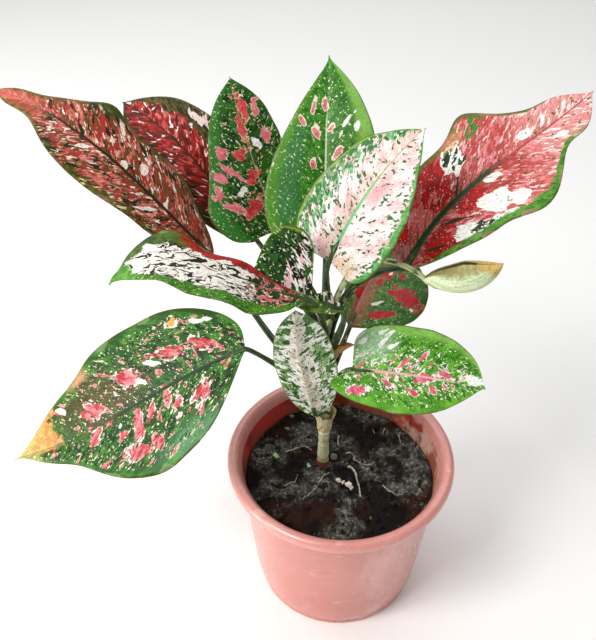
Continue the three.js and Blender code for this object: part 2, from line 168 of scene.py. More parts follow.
ROWS = 96  # steps along a blade
CELLS = 20  # steps across each half of a blade
CROWDING = 0.45  # how much closer the steps stand towards both ends of a blade
VEIN_SPACING = 7.5  # along the midrib, between two side veins
VEIN_SLANT = 0.8  # how far a side vein runs forward for each millimetre aside
# and steeper ones
SLANTS = dict(leaf_left_upper=1.3, leaf_left_back=1.2, leaf_right_upper=1.3, leaf_left_middle=1.6)
VEIN_CURVE = 0.006  # how much more it runs forward with each further millimetre
QUILTING = 0.3  # how far the blade swells up between two side veins
GROOVE = 0.5  # depth of the groove over the midrib
GROOVE_WIDTH = 1.1
RIDGE_WIDTH = 1.7  # of the midrib on the under side
THIN = 0.55  # thickness of the blade at the midrib
THINNEST = 0.3  # and at the margin
FRILL = 0.5  # height of the small waves at the margin
PETIOLE_SIDES = 20
CANE = dict(sides=28, scar_spread=1.4, swelling=0.9, swelling_at=29, swelling_spread=4, end=0.6)
COLLAR = dict(bottom=143, top=160, sides=48, steps=14, torn=5, gap=0.7, flare=2.6, waves=0.5, wall=0.45)
# height on the cane, heading, tilt and length of each dry scale
SCALES = ((176, 215, 78, 34), (196, 250, 70, 26), (212, 330, 66, 24))
POT_SIDES = 168
DRAIN_SIDES = 32
ROUNDING_STEPS = 5  # round each corner of the pot's profile
SOIL_SIDES = 220
SOIL_RINGS = 74
SHOULDER = 6  # how far the soil's edge lies under its level
CRUMBS = 520
FLOOR_REACH = 3000
UNDER = "under"  # mesh attribute: 1 on the under side of a blade


# ---------- small helpers ----------


def bend(values, share):
    """The value at a share of the way along a smooth run through three values: first, middle and last."""
    first, middle, last = values
    early = first * (1 - share) * (1 - 2 * share)
    return early + 4 * middle * share * (1 - share) + last * share * (2 * share - 1)


def direction(heading, pitch):
    """Unit vectors at a compass heading and a slope above the horizontal, both in degrees."""
    heading, pitch = np.radians(heading), np.radians(pitch)
    level = np.cos(pitch)
    return np.stack(
        [level * np.cos(heading), level * np.sin(heading), np.sin(pitch) + 0 * heading], axis=-1,
    )


def mix(start, end, share):
    return start + (end - start) * share


def unit(vectors):
    return vectors / np.linalg.norm(vectors, axis=-1, keepdims=True)


def bezier(points, shares):
    """Places along a cubic curve through four control points."""
    a, b, c, d = (np.asarray(point, float) for point in points)
    t = np.asarray(shares)[:, None]
    return a * (1 - t) ** 3 + 3 * b * t * (1 - t) ** 2 + 3 * c * t**2 * (1 - t) + d * t**3


def smooth_path(points, steps):
    """Places along a smooth line through all the points, with steps places from each point to the next."""
    points = [np.asarray(point, float) for point in points]
    ends = [2 * points[0] - points[1], *points, 2 * points[-1] - points[-2]]
    places = []
    for i in range(1, len(ends) - 2):
        before, start, end, after = ends[i - 1 : i + 3]
        for step in range(steps):
            t = step / steps
            places.append(
                0.5 * (2 * start + (end - before) * t + (2 * before - 5 * start + 4 * end - after) * t**2
                       + (3 * start - before - 3 * end + after) * t**3)
            )
    places.append(points[-1])
    return np.array(places)


def pairs(rows, columns):
    """A grid of every row's value with every column's."""
    return np.stack(np.meshgrid(rows, columns, indexing="ij"), axis=-1)


def add_object(name, data):
    made = bpy.data.objects.new(name, data)
    bpy.context.scene.collection.objects.link(made)
    return made


class Skin:
    """Points, faces and surface coordinates of one piece, gathered part by part."""

    def __init__(self):
        self.points = []
        self.faces = []
        self.slots = []
        self.flat = []
        self.share = []
        self.place = []
        self.under = []

    def add_grid(self, points, share, place, under=0.0, slot=0, wrap=False, turned=False, capped=False):
        """Adds a grid of points[row][column]. wrap closes it round its columns, capped closes its ends."""
        rows, columns = points.shape[:2]
        first = len(self.points)
        self.points.extend(points.reshape(-1, 3))
        self.share.extend(share.reshape(-1, 2))
        self.place.extend(place.reshape(-1, 2))
        self.under.extend([under] * (rows * columns))
        for row in range(rows - 1):
            for column in range(columns if wrap else columns - 1):
                beside = (column + 1) % columns
                here, there = first + row * columns, first + (row + 1) * columns
                face = [here + column, there + column, there + beside, here + beside]
                self.add_face(face[::-1] if turned else face, slot)
        if capped:
            self.add_face(list(range(first, first + columns)), slot)
            self.add_face(
                list(range(first + rows * columns - 1, first + (rows - 1) * columns - 1, -1)), slot,
            )
        return first

    def add_face(self, face, slot=0, flat=False):
        self.faces.append(face)
        self.slots.append(slot)
        self.flat.append(flat)

    def build(self, name, materials):
        """Makes the piece's object, with its materials."""
        mesh = bpy.data.meshes.new(name)
        mesh.from_pydata((np.array(self.points) * MM).tolist(), [], self.faces)
        corners = np.zeros(len(mesh.loops), dtype=np.int32)
        mesh.loops.foreach_get("vertex_index", corners)
        for layer, values in (("share", self.share), ("place", self.place)):
            uv = mesh.uv_layers.new(name=layer)
            uv.data.foreach_set("uv", np.array(values, dtype=np.float32)[corners].ravel())
        attribute = mesh.attributes.new(UNDER, "FLOAT", "POINT")
        attribute.data.foreach_set("value", np.array(self.under, dtype=np.float32))
        mesh.polygons.foreach_set("material_index", self.slots)
        mesh.polygons.foreach_set("use_smooth", [not flat for flat in self.flat])
        for material in materials:
            mesh.materials.append(material)
        mesh.validate()
        mesh.update()
        return add_object(name, mesh)


def finish_piece(piece, slot, *nodes):
    """Makes a piece ride on the plant's one body and stand for the nodes named, which it hides; slot is not
    used.
    """
    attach(piece, "root")
    if nodes:
        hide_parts(*nodes)


def tube_rings(path, upward, size_at, sides, groove):
    """Rings of points round a path. size_at gives the half width and half height at each share."""
    count = len(path)
    tangents = unit(np.gradient(path, axis=0))
    normal = np.asarray(upward, float)
    angles = TURN * np.arange(sides) / sides
    from_top = np.abs((angles - TURN / 4 + TURN / 2) % TURN - TURN / 2)
    rings = np.zeros((count, sides, 3))
    for i in range(count):
        normal = unit(normal - np.dot(normal, tangents[i]) * tangents[i])
        left = np.cross(normal, tangents[i])
        wide, high = size_at(i / (count - 1))
        depth = 1 - groove * np.exp(-((from_top / 0.6) ** 2)) * (1 - 0.5 * i / (count - 1))
        rings[i] = path[i] + np.outer(wide * np.cos(angles), left)
        rings[i] += np.outer(high * np.sin(angles) * depth, normal)
    return rings


def add_tube(skin, path, upward, size_at, sides, slot=0, groove=0.0):
    """Adds a closed tube along a path to a skin. Its coordinates are the way along and the way round."""
    rings = tube_rings(path, upward, size_at, sides, groove)
    along = np.concatenate([[0], np.cumsum(np.linalg.norm(np.diff(path, axis=0), axis=1))])
    around = np.arange(sides) / sides
    share, place = pairs(along / along[-1], around), pairs(along / 10, around)
    skin.add_grid(rings, share, place, slot=slot, wrap=True, turned=True, capped=True)


# ---------- materials ----------


def tone(red, green, blue):
    """A colour for a shader, from its everyday red, green and blue of 0 to 255."""
    shares = [value / 255 for value in (red, green, blue)]
    return (*(s / 12.92 if s < 0.04 else ((s + 0.055) / 1.055) ** 2.4 for s in shares), 1.0)


class Field:
    """A number or colour that varies over a surface. Sums and products of it become shader nodes."""

    def __init__(self, paint, socket):
        self.paint = paint
        self.socket = socket

    def __add__(self, other):
        return self.paint.math("ADD", self, other)

    def __sub__(self, other):
        return self.paint.math("SUBTRACT", self, other)

    def __rsub__(self, other):
        return self.paint.math("SUBTRACT", other, self)

    def __mul__(self, other):
        return self.paint.math("MULTIPLY", self, other)

    def __truediv__(self, other):
        return self.paint.math("DIVIDE", self, other)

    def __abs__(self):
        return self.paint.math("ABSOLUTE", self)


class Paint:
    """A material as layers of colour over a base, each laid on through a mask from 0 to 1."""

    def __init__(self, name, base):
        self.material = bpy.data.materials.new(name)
        self.material.use_nodes = True
        self.tree = self.material.node_tree
        self.tree.nodes.clear()
        self.surface = self.tree.nodes.new("ShaderNodeBsdfPrincipled")
        output = self.tree.nodes.new("ShaderNodeOutputMaterial")
        self.tree.links.new(self.surface.outputs["BSDF"], output.inputs["Surface"])
        self.colour = base
        self.seed = 0.0

    def put(self, node, inputs):
        """Feeds a node's inputs from fields, numbers and vectors, or colours of three everyday numbers."""
        for key, value in inputs.items():
            socket = node.inputs[key]
            if isinstance(value, Field):
                self.tree.links.new(value.socket, socket)
            elif isinstance(value, tuple) and socket.type == "RGBA":
                socket.default_value = tone(*value)
            else:
                socket.default_value = value

    def make(self, kind, inputs, output=0, **settings):
        """One output of a new shader node."""
        node = self.tree.nodes.new("ShaderNode" + kind)
        for key, value in settings.items():
            setattr(node, key, value)
        self.put(node, inputs)
        return Field(self, node.outputs[output])

    def math(self, operation, first, second=0.0):
        return self.make("Math", {0: first, 1: second}, operation=operation)

    def ramp(self, value, start, end):
        """A soft step from 0 at start to 1 at end."""
        low, high = sorted((start, end))
        span = {"Value": value, "From Min": low, "From Max": high}
        span.update({"To Min": float(start >= end), "To Max": float(start < end)})
        return self.make("MapRange", span, interpolation_type="SMOOTHSTEP")

    def uv(self, name):
        return self.make("UVMap", {}, uv_map=name)

    def spot(self):
        """The point's place on the object, in metres."""
        return self.make("TexCoord", {}, "Object")

    def parts(self, vector):
        """A vector's three parts."""
        node = self.make("SeparateXYZ", {0: vector}).socket.node
        return [Field(self, part) for part in node.outputs]

    def noise(self, vector, scale, detail=2.0, roughness=0.5, distortion=0.0):
        """Smooth noise around 0.5. scale is a number, or one for each axis."""
        self.seed += 7.3
        stretch = (*scale, 1)[:3] if isinstance(scale, tuple) else (scale, scale, scale)
        shift = (self.seed, self.seed * 0.61, self.seed * 0.37)
        mapping = self.make("Mapping", {"Vector": vector, "Location": shift, "Scale": stretch})
        kind = {"Scale": 1.0, "Detail": detail, "Roughness": roughness, "Distortion": distortion}
        return self.make("TexNoise", {"Vector": mapping, **kind})

    def blend(self, mask, first, second):
        """The first colour where a mask is 0, and the second where it is 1."""
        return self.make("Mix", {0: mask, 6: first, 7: second}, 2, data_type="RGBA", clamp_factor=True)

    def layer(self, mask, colour, strength=1.0):
        """Lays a colour over what is there, where the mask is."""
        if strength < 1.0:
            mask = mask * strength
        self.colour = self.blend(mask, self.colour, colour)

    def mottle(self, place, scale, detail, start, end, colour, strength=1.0):
        """Lays a colour on where smooth noise goes from start to end."""
        self.layer(self.ramp(self.noise(place, scale, detail), start, end), colour, strength)

    def bump(self, height, strength, distance):
        normal = self.make("Bump", {"Strength": strength, "Distance": distance, "Height": height})
        self.put(self.surface, {"Normal": normal})

    def done(self, roughness, specular=0.5, coat=0.0):
        """Feeds the finished colour to the shader and sets its gloss."""
        gloss = {"Specular IOR Level": specular, "Coat Weight": coat, "Coat Roughness": 0.25}
        self.put(self.surface, {"Base Color": self.colour, "Roughness": roughness, **gloss})
        return self.material


class BladePaint(Paint):
    """A leaf blade's paint, with masks that follow its midrib, side veins and margin.

    Lengths on the blade are centimetres: along the midrib from the neck, and aside from it, more than 0 on
    the left.
    """

    def __init__(self, name, base, seed):
        super().__init__("finish_" + name, base)
        self.seed = seed
        self.place = self.uv("place")
        self.along, share_across, _ = self.parts(self.uv("share"))
        self.across = share_across * 2.0 - 1.0
        self.out = abs(self.across)
        reach, left_by, _ = self.parts(self.place)
        self.aside = abs(left_by)
        self.left = self.ramp(self.across, -0.01, 0.01)
        self.right = 1 - self.left
        slant = SLANTS.get(name, VEIN_SLANT)
        shorter = 1 / math.hypot(1, slant)
        self.vein = reach - (self.aside * slant + self.aside * self.aside * (10 * VEIN_CURVE))
        outwards = (reach * slant + self.aside) * shorter
        self.veins = self.make("CombineXYZ", {0: self.vein * shorter, 1: outwards, 2: self.left * 5.0})
        self.wobble = self.noise(self.place, 1.6, 4.0, 0.6) - 0.5
        self.ragged = self.noise(self.veins, (2.6, 1.2), 3.0, 0.5, 0.3) - 0.5
        self.broken = self.ramp(self.noise(self.veins, (1.8, 2.6), 3.0), 0.45, 0.53)

    def grain(self, length, width, detail=3.0, roughness=0.55):
        """Noise drawn out along the side veins, with grains of about that length and width."""
        return self.noise(self.veins, (1 / width, 1 / length), detail, roughness, 0.5)

    def mottled(self, first, second, length=0.5, width=0.25):
        """Two colours that run into each other in small irregular grains."""
        return self.blend(self.ramp(self.grain(length, width, 4.0, 0.65), 0.38, 0.62), first, second)

    def two_tone(self, mask, first, second):
        """Lays a mottle of two colours on."""
        self.layer(mask, self.mottled(first, second))

    def blobs(
        self, colour, length, width, amount, where=None, halo=None, rim=0.04, detail=3.0, crisp=0.012
    ):
        """Blotches drawn out along the side veins, where the noise is over amount.

        They dwindle outside the mask where.
        """
        field = self.grain(length, width, detail)
        if where is not None:
            field = field + (1 - where) * -0.35
        if halo is not None:
            outer = self.ramp(field, amount - rim - crisp, amount - rim + crisp)
            self.layer(outer * self.broken, halo)
        self.layer(self.ramp(field, amount - crisp, amount + crisp), colour)

    def specks(self, colour, size, amount, where=None):
        """Small round specks."""
        self.blobs(colour, size * 1.25, size, amount, where, detail=1.0, crisp=0.02)

    def margin(self, width, soft=0.03, wobble=0.2):
        """A band along the margin, as a share of the half width."""
        return self.ramp(self.out + self.wobble * wobble, 1 - width - soft, 1 - width + soft)

    def rib(self, colour, width, start=-1.0, end=1.1):
        """A line along the midrib, from one share to another. Its half width narrows towards the tip."""
        line = self.ramp(self.aside + self.along * (width * 0.7), width * 1.3, width * 0.7)
        first, last = self.ramp(self.along, start - 0.05, start), self.ramp(self.along, end + 0.05, end)
        self.layer(line * first * last, colour)

    def side_veins(self, width):
        """Thin lines along the side veins."""
        saw = abs(self.math("FRACT", self.vein / (VEIN_SPACING / 10) + self.wobble * 0.5) - 0.5)
        return self.ramp(saw, 0.5 - width, 0.5 - width * 0.3)

    def stretch(self, start, end, soft=0.04):
        """From one share of the length to another."""
        along = self.along + self.wobble * 0.25
        return self.ramp(along, start - soft, start + soft) * self.ramp(along, end + soft, end - soft)

    def patch(self, along, aside, length, width, turn=0, grow=0.0, ragged=1.7, soft=0.07):
        """An oval with a ragged edge. turn is in degrees from the midrib towards the left."""
        oval = {"Location": (along, aside, 0), "Rotation": (0, 0, math.radians(turn))}
        oval["Scale"] = (length / 2, width / 2, 1)
        mapping = self.make("Mapping", {"Vector": self.place, **oval}, vector_type="TEXTURE")
        distance = self.make("VectorMath", {0: mapping}, "Value", operation="LENGTH")
        return self.ramp(distance + self.ragged * (2 * ragged), 1 + grow + soft, 1 + grow - soft)

    def patches(self, colour, ovals, halo=None, rim=0.3):
        """Blotches at given places, each an oval of (along, aside, length, width, turn)."""
        if halo is not None:
            for oval in ovals:
                self.layer(self.patch(*oval, grow=rim) * self.broken, halo)
        for oval in ovals:
            self.layer(self.patch(*oval), colour)

    def haze(self, colour, strength, *oval):
        """A soft tint over an oval."""
        self.layer(self.patch(*oval, ragged=0.5, soft=0.6), colour, strength)

    def blade_done(self, roughness, paler=(120, 142, 92), coat=0.0):
        """Adds a dark grain and a thin brown edge, pales the under side, adds fine relief, and finishes."""
        self.layer(self.ramp(self.grain(0.16, 0.09, 3.0, 0.6), 0.44, 0.68), (20, 24, 4), 0.36)
        self.layer(self.ramp(self.out, 0.97, 0.99), (92, 70, 36), 0.85)
        if paler is not None:
            self.layer(self.make("Attribute", {}, "Fac", attribute_name=UNDER), paler, 0.6)
        pores = self.noise(self.place, 38.0, 2.0)
        grain = self.grain(0.33, 0.11)
        self.bump(pores * 0.35 + grain + self.side_veins(0.08) * -1.2, 0.35, 0.0004)
        return self.done(grain * 0.16 + (roughness - 0.08), 0.24, coat)


CREAM = (246, 236, 214)
WHITE = (250, 244, 238)


def green_blade(name, dark, middle, light, seed):
    """A blade of three greens, finely mottled, with faint lighter side veins."""
    paint = BladePaint(name, middle, seed)
    paint.layer(paint.ramp(paint.grain(1.4, 0.8, 3), 0.4, 0.64), light)
    paint.blobs(dark, 0.45, 0.26, 0.54, 1 - paint.margin(0.14), crisp=0.03)
    paint.layer(paint.side_veins(0.1), light, 0.3)
    return paint


def paint_front():
    """White margins with a green network round a grey-beige middle."""
    paint = BladePaint("leaf_front", (246, 246, 236), 1)
    middle = paint.ramp(paint.out + paint.wobble, 0.42, 0.26)
    paint.layer(middle, paint.mottled((244, 238, 226), (212, 204, 186), 0.8, 0.5))
    paint.blobs((140, 176, 112), 1, 0.6, 0.53, 1 - middle, detail=5, crisp=0.04)
    paint.blobs((76, 126, 50), 0.7, 0.42, 0.54, 1 - middle, detail=4, crisp=0.02)
    paint.blobs((28, 78, 18), 0.45, 0.22, 0.57, detail=4)
    paint.blobs((92, 84, 48), 0.4, 0.2, 0.64, middle)
    paint.rib((206, 200, 174), 0.05)
    paint.layer(paint.margin(0.04), (136, 164, 96))
    return paint.blade_done(0.42, None)


def paint_right_front():
    """Bright green, with pink blotches in white halos by the midrib and a painted white sheen, a painted
    reflection, at its upper left.
    """
    paint = green_blade("leaf_right_front", (44, 106, 10), (76, 148, 24), (108, 178, 44), 2)
    paint.layer(paint.left * paint.ramp(paint.out, 0.7, 0.95), (146, 206, 92), 0.8)
    # painted sheen: a pale haze and white streaks at the base of the left half stand in for reflected light
    paint.haze((166, 208, 160), 0.8, 0.9, 1.7, 2.8, 2.2)
    paint.blobs((250, 250, 244), 1.6, 0.4, 0.54, paint.patch(1.2, 2.2, 3, 1.6, soft=0.4), detail=4)
    middle = paint.ramp(paint.out, 0.86, 0.5)
    paint.blobs((240, 244, 214), 0.42, 0.2, 0.62, middle)
    paint.specks((246, 248, 224), 0.14, 0.66, 1 - paint.margin(0.14))
    paint.blobs((228, 98, 122), 0.5, 0.3, 0.61, paint.ramp(paint.out, 0.8, 0.3), (252, 244, 240), 0.06)
    ovals = [
        (4.5, -0.1, 1.3, 0.5, 20), (5.7, 0.3, 0.9, 0.35, -20), (5, -0.8, 0.8, 0.35, -50),
        (0.6, -1.4, 1.2, 0.5, 10), (2.3, -0.8, 0.7, 0.3, -30), (3.1, 0.7, 0.8, 0.3, 40),
        (3.9, -1.3, 0.6, 0.3, -40), (4.2, 1.2, 0.7, 0.25, 50),
    ]
    paint.patches(paint.mottled((238, 128, 146), (212, 72, 94)), ovals, (252, 240, 240), 0.3)
    paint.patches((246, 250, 240), [(7.4, 0.4, 2, 0.5, 0)])
    paint.rib((232, 188, 180), 0.1, 0, 0.75)
    return paint.blade_done(0.33, coat=0.08)


def paint_left_lower():
    """Green with pink blotches in white halos, a brownish middle, a tan tip, a plain green edge, and a
    painted bluish sheen on its left half.
    """
    paint = green_blade("leaf_left_lower", (8, 38, 2), (26, 80, 8), (62, 130, 26), 3)
    body = 1 - paint.margin(0.09)
    paint.haze((92, 70, 24), 0.85, 9.8, -1.5, 6, 3)
    # painted reflection: a pale bluish-green haze on the left half stands in for a sheen of light
    paint.haze((120, 176, 132), 0.45, 4.6, 4, 5, 1.8, 10)
    paint.blobs((8, 30, 2), 0.7, 0.3, 0.55, paint.patch(5.6, -1.6, 9, 4, soft=0.5), detail=4)
    paint.blobs((238, 230, 196), 0.6, 0.24, 0.655, body)
    paint.specks((236, 238, 204), 0.15, 0.68, body)
    pinks = paint.mottled((240, 146, 150), (192, 40, 52), 0.7, 0.3)
    paint.blobs(pinks, 0.9, 0.4, 0.625, body, CREAM, 0.02)
    ovals = [
        (2.4, -1.5, 1.4, 0.7, -40), (4.8, -2.1, 2.4, 0.8, -20), (7.8, -1.9, 1.3, 0.9, -40),
        (10.8, -1.1, 1.2, 0.9, -20), (3.5, 1.6, 1.3, 1, 60), (5.2, 1.4, 1.6, 0.6, 75),
        (5.8, 0.7, 1.2, 0.5, 75), (8.2, 1.2, 2, 0.6, 80), (7.1, 1, 1.2, 0.5, 60), (8.8, 3.1, 0.8, 1.6, 80),
        (7.3, 3.2, 0.6, 1, 20), (11.2, 0.7, 1, 0.8, 60),
    ]
    paint.patches(pinks, ovals, (250, 230, 220), 0.3)
    paint.blobs((20, 64, 10), 0.5, 0.16, 0.6, body, detail=4)
    paint.patches(WHITE, [(5.8, -1.9, 1.1, 0.5, -30), (2.2, -3.2, 1.2, 0.4, -20), (7, -1.2, 0.8, 0.3, -40)])
    paint.patches(WHITE, [(2, 3, 0.7, 0.4, 60), (12.9, -2.1, 0.7, 0.4, -40), (9.4, 0.9, 0.5, 0.4, 50)])
    paint.patches((230, 168, 86), [(3.8, -3.9, 0.6, 0.5, 0)], (252, 228, 216), 0.7)
    tip = paint.stretch(0.82, 1.2, 0.02) * paint.ramp(paint.across, 0.3, 0)
    paint.two_tone(tip, (228, 176, 96), (204, 136, 66))
    paint.layer(paint.stretch(0.9, 1.2), (210, 210, 122), 0.6)
    paint.haze((212, 154, 110), 0.9, 11.4, -3.8, 2, 1)
    paint.rib((18, 58, 12), 0.16, 0, 0.6)
    paint.rib((120, 60, 50), 0.05, 0.6, 0.95)
    return paint.blade_done(0.4, coat=0.03)


def paint_right_middle():
    """Plain green with strong red splotches, and a pinkish midrib."""
    paint = green_blade("leaf_right_middle", (32, 84, 14), (52, 112, 22), (82, 144, 44), 4)
    paint.blobs((108, 152, 84), 0.9, 0.6, 0.63, 1 - paint.margin(0.3), detail=4, crisp=0.06)
    paint.layer(paint.right * paint.margin(0.22, 0.1), (36, 90, 14), 0.8)
    paint.specks((214, 226, 178), 0.12, 0.68, 1 - paint.margin(0.1))
    paint.haze((172, 92, 78), 0.7, 2.4, -0.2, 7, 1.2)
    ovals = [
        (3.1, -3, 2.9, 1, 52), (5.1, -1, 1, 0.7, 20), (4.4, -0.7, 0.8, 0.5, 0), (1.3, -1.7, 0.6, 1.9, 20),
        (3.9, -3.1, 0.4, 0.4, 0), (5.2, -1.9, 0.6, 0.4, 0), (3, 0.3, 1.4, 0.5, 10),
        (4.6, 0.3, 1.2, 0.5, 10),
    ]
    paint.patches(paint.mottled((210, 34, 44), (180, 14, 28)), ovals, (226, 120, 110), 0.12)
    paint.patches(WHITE, [(2.2, -1.1, 0.8, 0.3, -50), (2.3, -3.4, 0.3, 0.3, 0), (5.3, -1.1, 0.4, 0.2, 0)])
    paint.rib((206, 110, 106), 0.1)
    return paint.blade_done(0.38)


def red_blade(name, base, red, light, seed):
    """A blade of three reds in grains along the side veins."""
    paint = BladePaint(name, base, seed)
    paint.blobs(red, 1, 0.6, 0.5, detail=5, crisp=0.02)
    paint.blobs(light, 0.9, 0.5, 0.53, detail=5, crisp=0.02)
    paint.blobs(base, 0.5, 0.16, 0.56, detail=4, crisp=0.03)
    return paint


def paint_left_upper():
    """Brown-red and brick red with coral patches, cream flecks, dark mottling and an olive edge."""
    paint = red_blade("leaf_left_upper", (136, 62, 34), (178, 48, 42), (218, 112, 102), 5)
    paint.blobs((104, 74, 22), 0.9, 0.24, 0.56, detail=4)
    paint.blobs((238, 160, 144), 0.5, 0.14, 0.61)
    paint.blobs((26, 38, 6), 0.7, 0.28, 0.58, detail=4)
    paint.blobs((34, 40, 8), 1.2, 0.3, 0.54, paint.ramp(paint.out, 0.2, 0.9), detail=5)
    ovals = [
        (4.2, -0.2, 0.9, 0.3, -60), (6.4, -0.9, 0.8, 0.5, -60), (7.3, -0.2, 0.7, 0.4, -20),
        (9.6, 0.5, 1, 0.2, 40), (8.6, -1.7, 0.8, 0.25, -40), (12.4, 1.5, 0.8, 0.3, 40),
        (5, 0.9, 1.4, 0.2, 40),
    ]
    paint.patches((250, 236, 220), ovals)
    paint.blobs(CREAM, 0.5, 0.15, 0.63, detail=2)
    edge = paint.left * paint.margin(0.14, 0.03, 0.7)
    paint.two_tone(edge, (104, 104, 30), (30, 44, 6))
    paint.two_tone(paint.right * paint.margin(0.1, 0.03, 0.3), (120, 96, 42), (58, 68, 16))
    paint.haze((50, 74, 14), 0.9, 9.8, -2.2, 1.6, 1)
    paint.blobs((236, 214, 150), 0.5, 0.14, 0.62, paint.left * paint.ramp(paint.out, 0.3, 0.9))
    end = paint.stretch(0.8, 1.2, 0.03)
    paint.layer(end, paint.mottled((214, 108, 92), (158, 66, 40), 0.8, 0.3), 0.85)
    paint.layer(end * paint.margin(0.3), paint.mottled((130, 112, 44), (84, 70, 22)), 0.9)
    paint.rib((36, 38, 8), 0.12, 0, 0.75)
    return paint.blade_done(0.4, (150, 104, 84))


def paint_left_back():
    """Deep red, black-green towards the front, with a dark olive upper edge and a white patch by it."""
    paint = red_blade("leaf_left_back", (146, 22, 12), (178, 30, 24), (204, 78, 72), 6)
    paint.blobs((92, 20, 8), 0.9, 0.3, 0.52, detail=4)
    paint.blobs((226, 120, 112), 0.6, 0.2, 0.6, paint.right, detail=4)
    paint.blobs((16, 26, 4), 1.2, 0.4, 0.51, paint.ramp(paint.out, 0.1, 0.7), detail=5)
    paint.blobs(WHITE, 0.7, 0.3, 0.63)
    upper = paint.right * paint.margin(0.46, 0.05, 1)
    paint.two_tone(upper, (96, 88, 30), (24, 34, 8))
    paint.two_tone(paint.left * paint.margin(0.24, 0.04, 0.8), (24, 34, 8), (84, 72, 26))
    paint.patches((248, 222, 216), [(6.2, -2.7, 2.6, 1.3, 0), (8, -2.1, 1.2, 0.5, 0)])
    paint.blobs((20, 22, 8), 0.3, 0.18, 0.56, paint.patch(6.2, -2.9, 2.6, 1.4), detail=4)
    paint.rib((46, 30, 12), 0.1)
    return paint.blade_done(0.42, (140, 84, 66))


def paint_right_upper():
    """Coral pink with large white and dark red patches, a green edge and a dark green midrib."""
    paint = red_blade("leaf_right_upper", (178, 60, 54), (206, 90, 90), (226, 128, 132), 7)
    paint.layer(paint.stretch(0.7, 1.2, 0.1), (240, 176, 170), 0.5)
    paint.blobs((250, 206, 200), 0.6, 0.16, 0.6, paint.stretch(0.3, 1.2), detail=4)
    paint.blobs((254, 232, 226), 0.9, 0.2, 0.57, paint.stretch(0.66, 1.2, 0.1), detail=4)
    paint.blobs((60, 96, 34), 0.4, 0.26, 0.65, 1 - paint.margin(0.05), detail=4)
    paint.haze((136, 92, 84), 0.6, 1, 0.7, 1.8, 1.2)
    paint.haze((206, 96, 96), 0.9, 3.6, 0.9, 3, 1.6, 40)
    deep = paint.mottled((204, 16, 20), (144, 4, 4))
    dark = [
        (4.9, 1.7, 3.2, 2.1, 50), (5.6, -0.7, 2.4, 1.2, -30), (2.6, -1.3, 2.8, 2.2, 0),
        (1.8, 1.2, 1.4, 1, 50),
    ]
    paint.patches(deep, dark)
    paint.blobs((226, 120, 116), 1, 0.3, 0.58, paint.patch(4.4, 1, 2.6, 1.4, 50, soft=0.4), detail=4)
    paint.specks((240, 190, 180), 0.12, 0.67, paint.stretch(0.05, 0.42))
    streaks = [(5.9, 0.9, 2.4, 0.12, 46), (4.2, -1, 2, 0.16, -34), (2.2, -1.2, 1.2, 0.14, -40)]
    paint.patches((30, 36, 16), streaks)
    pale = [
        (6.4, 2.2, 1.3, 2.2, -20), (6.7, -1.9, 2.2, 1.6, -20), (7.9, -2.7, 1.3, 0.9, 0),
        (7.3, -0.5, 1.1, 0.5, -10), (4.4, -2.2, 2.6, 1.1, -40), (5.9, -3, 3, 0.9, -15),
        (10.2, 0.5, 1, 0.5, 0), (11.6, -0.9, 0.8, 0.4, -20),
    ]
    for along, aside, length, width, turn in pale:
        paint.layer(paint.patch(along, aside, length, width, turn, ragged=0.9, soft=0.04), (252, 250, 242))
    flecked = paint.math("MAXIMUM", paint.patch(6.4, 2.2, 1.2, 2), paint.patch(5, -2.9, 3.8, 1.4, -20))
    paint.blobs((16, 44, 10), 0.55, 0.3, 0.54, flecked)
    green = paint.mottled((92, 156, 40), (48, 108, 22))
    paint.layer(paint.right * paint.margin(0.17) * paint.stretch(0.06, 0.85), green)
    paint.layer(paint.left * paint.margin(0.08) * paint.stretch(0.1, 0.85), (100, 104, 40))
    paint.blobs((66, 124, 32), 0.5, 0.34, 0.5, paint.patch(7.9, 2.9, 3.2, 1), detail=4)
    paint.haze((206, 134, 84), 0.7, 6.9, 3, 1.2, 0.8)
    paint.blobs((40, 92, 40), 0.34, 0.26, 0.655, paint.stretch(0.4, 1), detail=4)
    near_rib = paint.ramp(paint.aside, 1.3, 0.1) * paint.stretch(0, 0.5)
    paint.layer(paint.side_veins(0.16) * near_rib, (22, 60, 22), 0.8)
    paint.rib((14, 60, 16), 0.24, 0, 0.55)
    paint.rib((170, 60, 60), 0.1, 0.55, 0.95)
    return paint.blade_done(0.38, (168, 112, 100))


def paint_left_middle():
    """White with jagged, nearly black flecks, a red back edge, and plain green at its front and tip."""
    paint = BladePaint("leaf_left_middle", (248, 240, 230), 8)
    jagged = paint.noise(paint.place, (1.25, 3.2), 3, 0.55, 1.6)
    paint.layer(paint.ramp(jagged, 0.53, 0.545), (22, 34, 6))
    fine = paint.noise(paint.place, (2.4, 6), 3, 0.6, 1)
    paint.layer(paint.ramp(fine, 0.57, 0.585) * paint.ramp(paint.out, 0.2, 0.7), (30, 46, 8))
    neck = paint.stretch(-0.2, 0.27, 0.012)
    paint.two_tone(neck, (44, 74, 18), (30, 34, 10))
    pinks = paint.mottled((230, 134, 132), (168, 40, 40))
    paint.blobs(pinks, 0.6, 0.42, 0.53, neck, (240, 190, 170), 0.03)
    paint.blobs((244, 232, 206), 0.4, 0.2, 0.62, neck)
    back = paint.right * paint.margin(0.34, 0.04, 0.9)
    paint.two_tone(back * paint.stretch(-0.2, 0.66), (190, 44, 40), (142, 34, 22))
    paint.two_tone(back * paint.stretch(0.62, 1.2), (74, 104, 24), (40, 72, 14))
    paint.patches(WHITE, [(8.6, -0.95, 0.6, 0.45, 0)])
    front = paint.left * paint.margin(0.36, 0.03, 0.5)
    paint.two_tone(front, (74, 140, 24), (44, 100, 14))
    paint.specks((190, 224, 120), 0.1, 0.66, front)
    paint.two_tone(paint.stretch(0.87, 1.2, 0.02), (98, 164, 50), (60, 122, 26))
    return paint.blade_done(0.4)


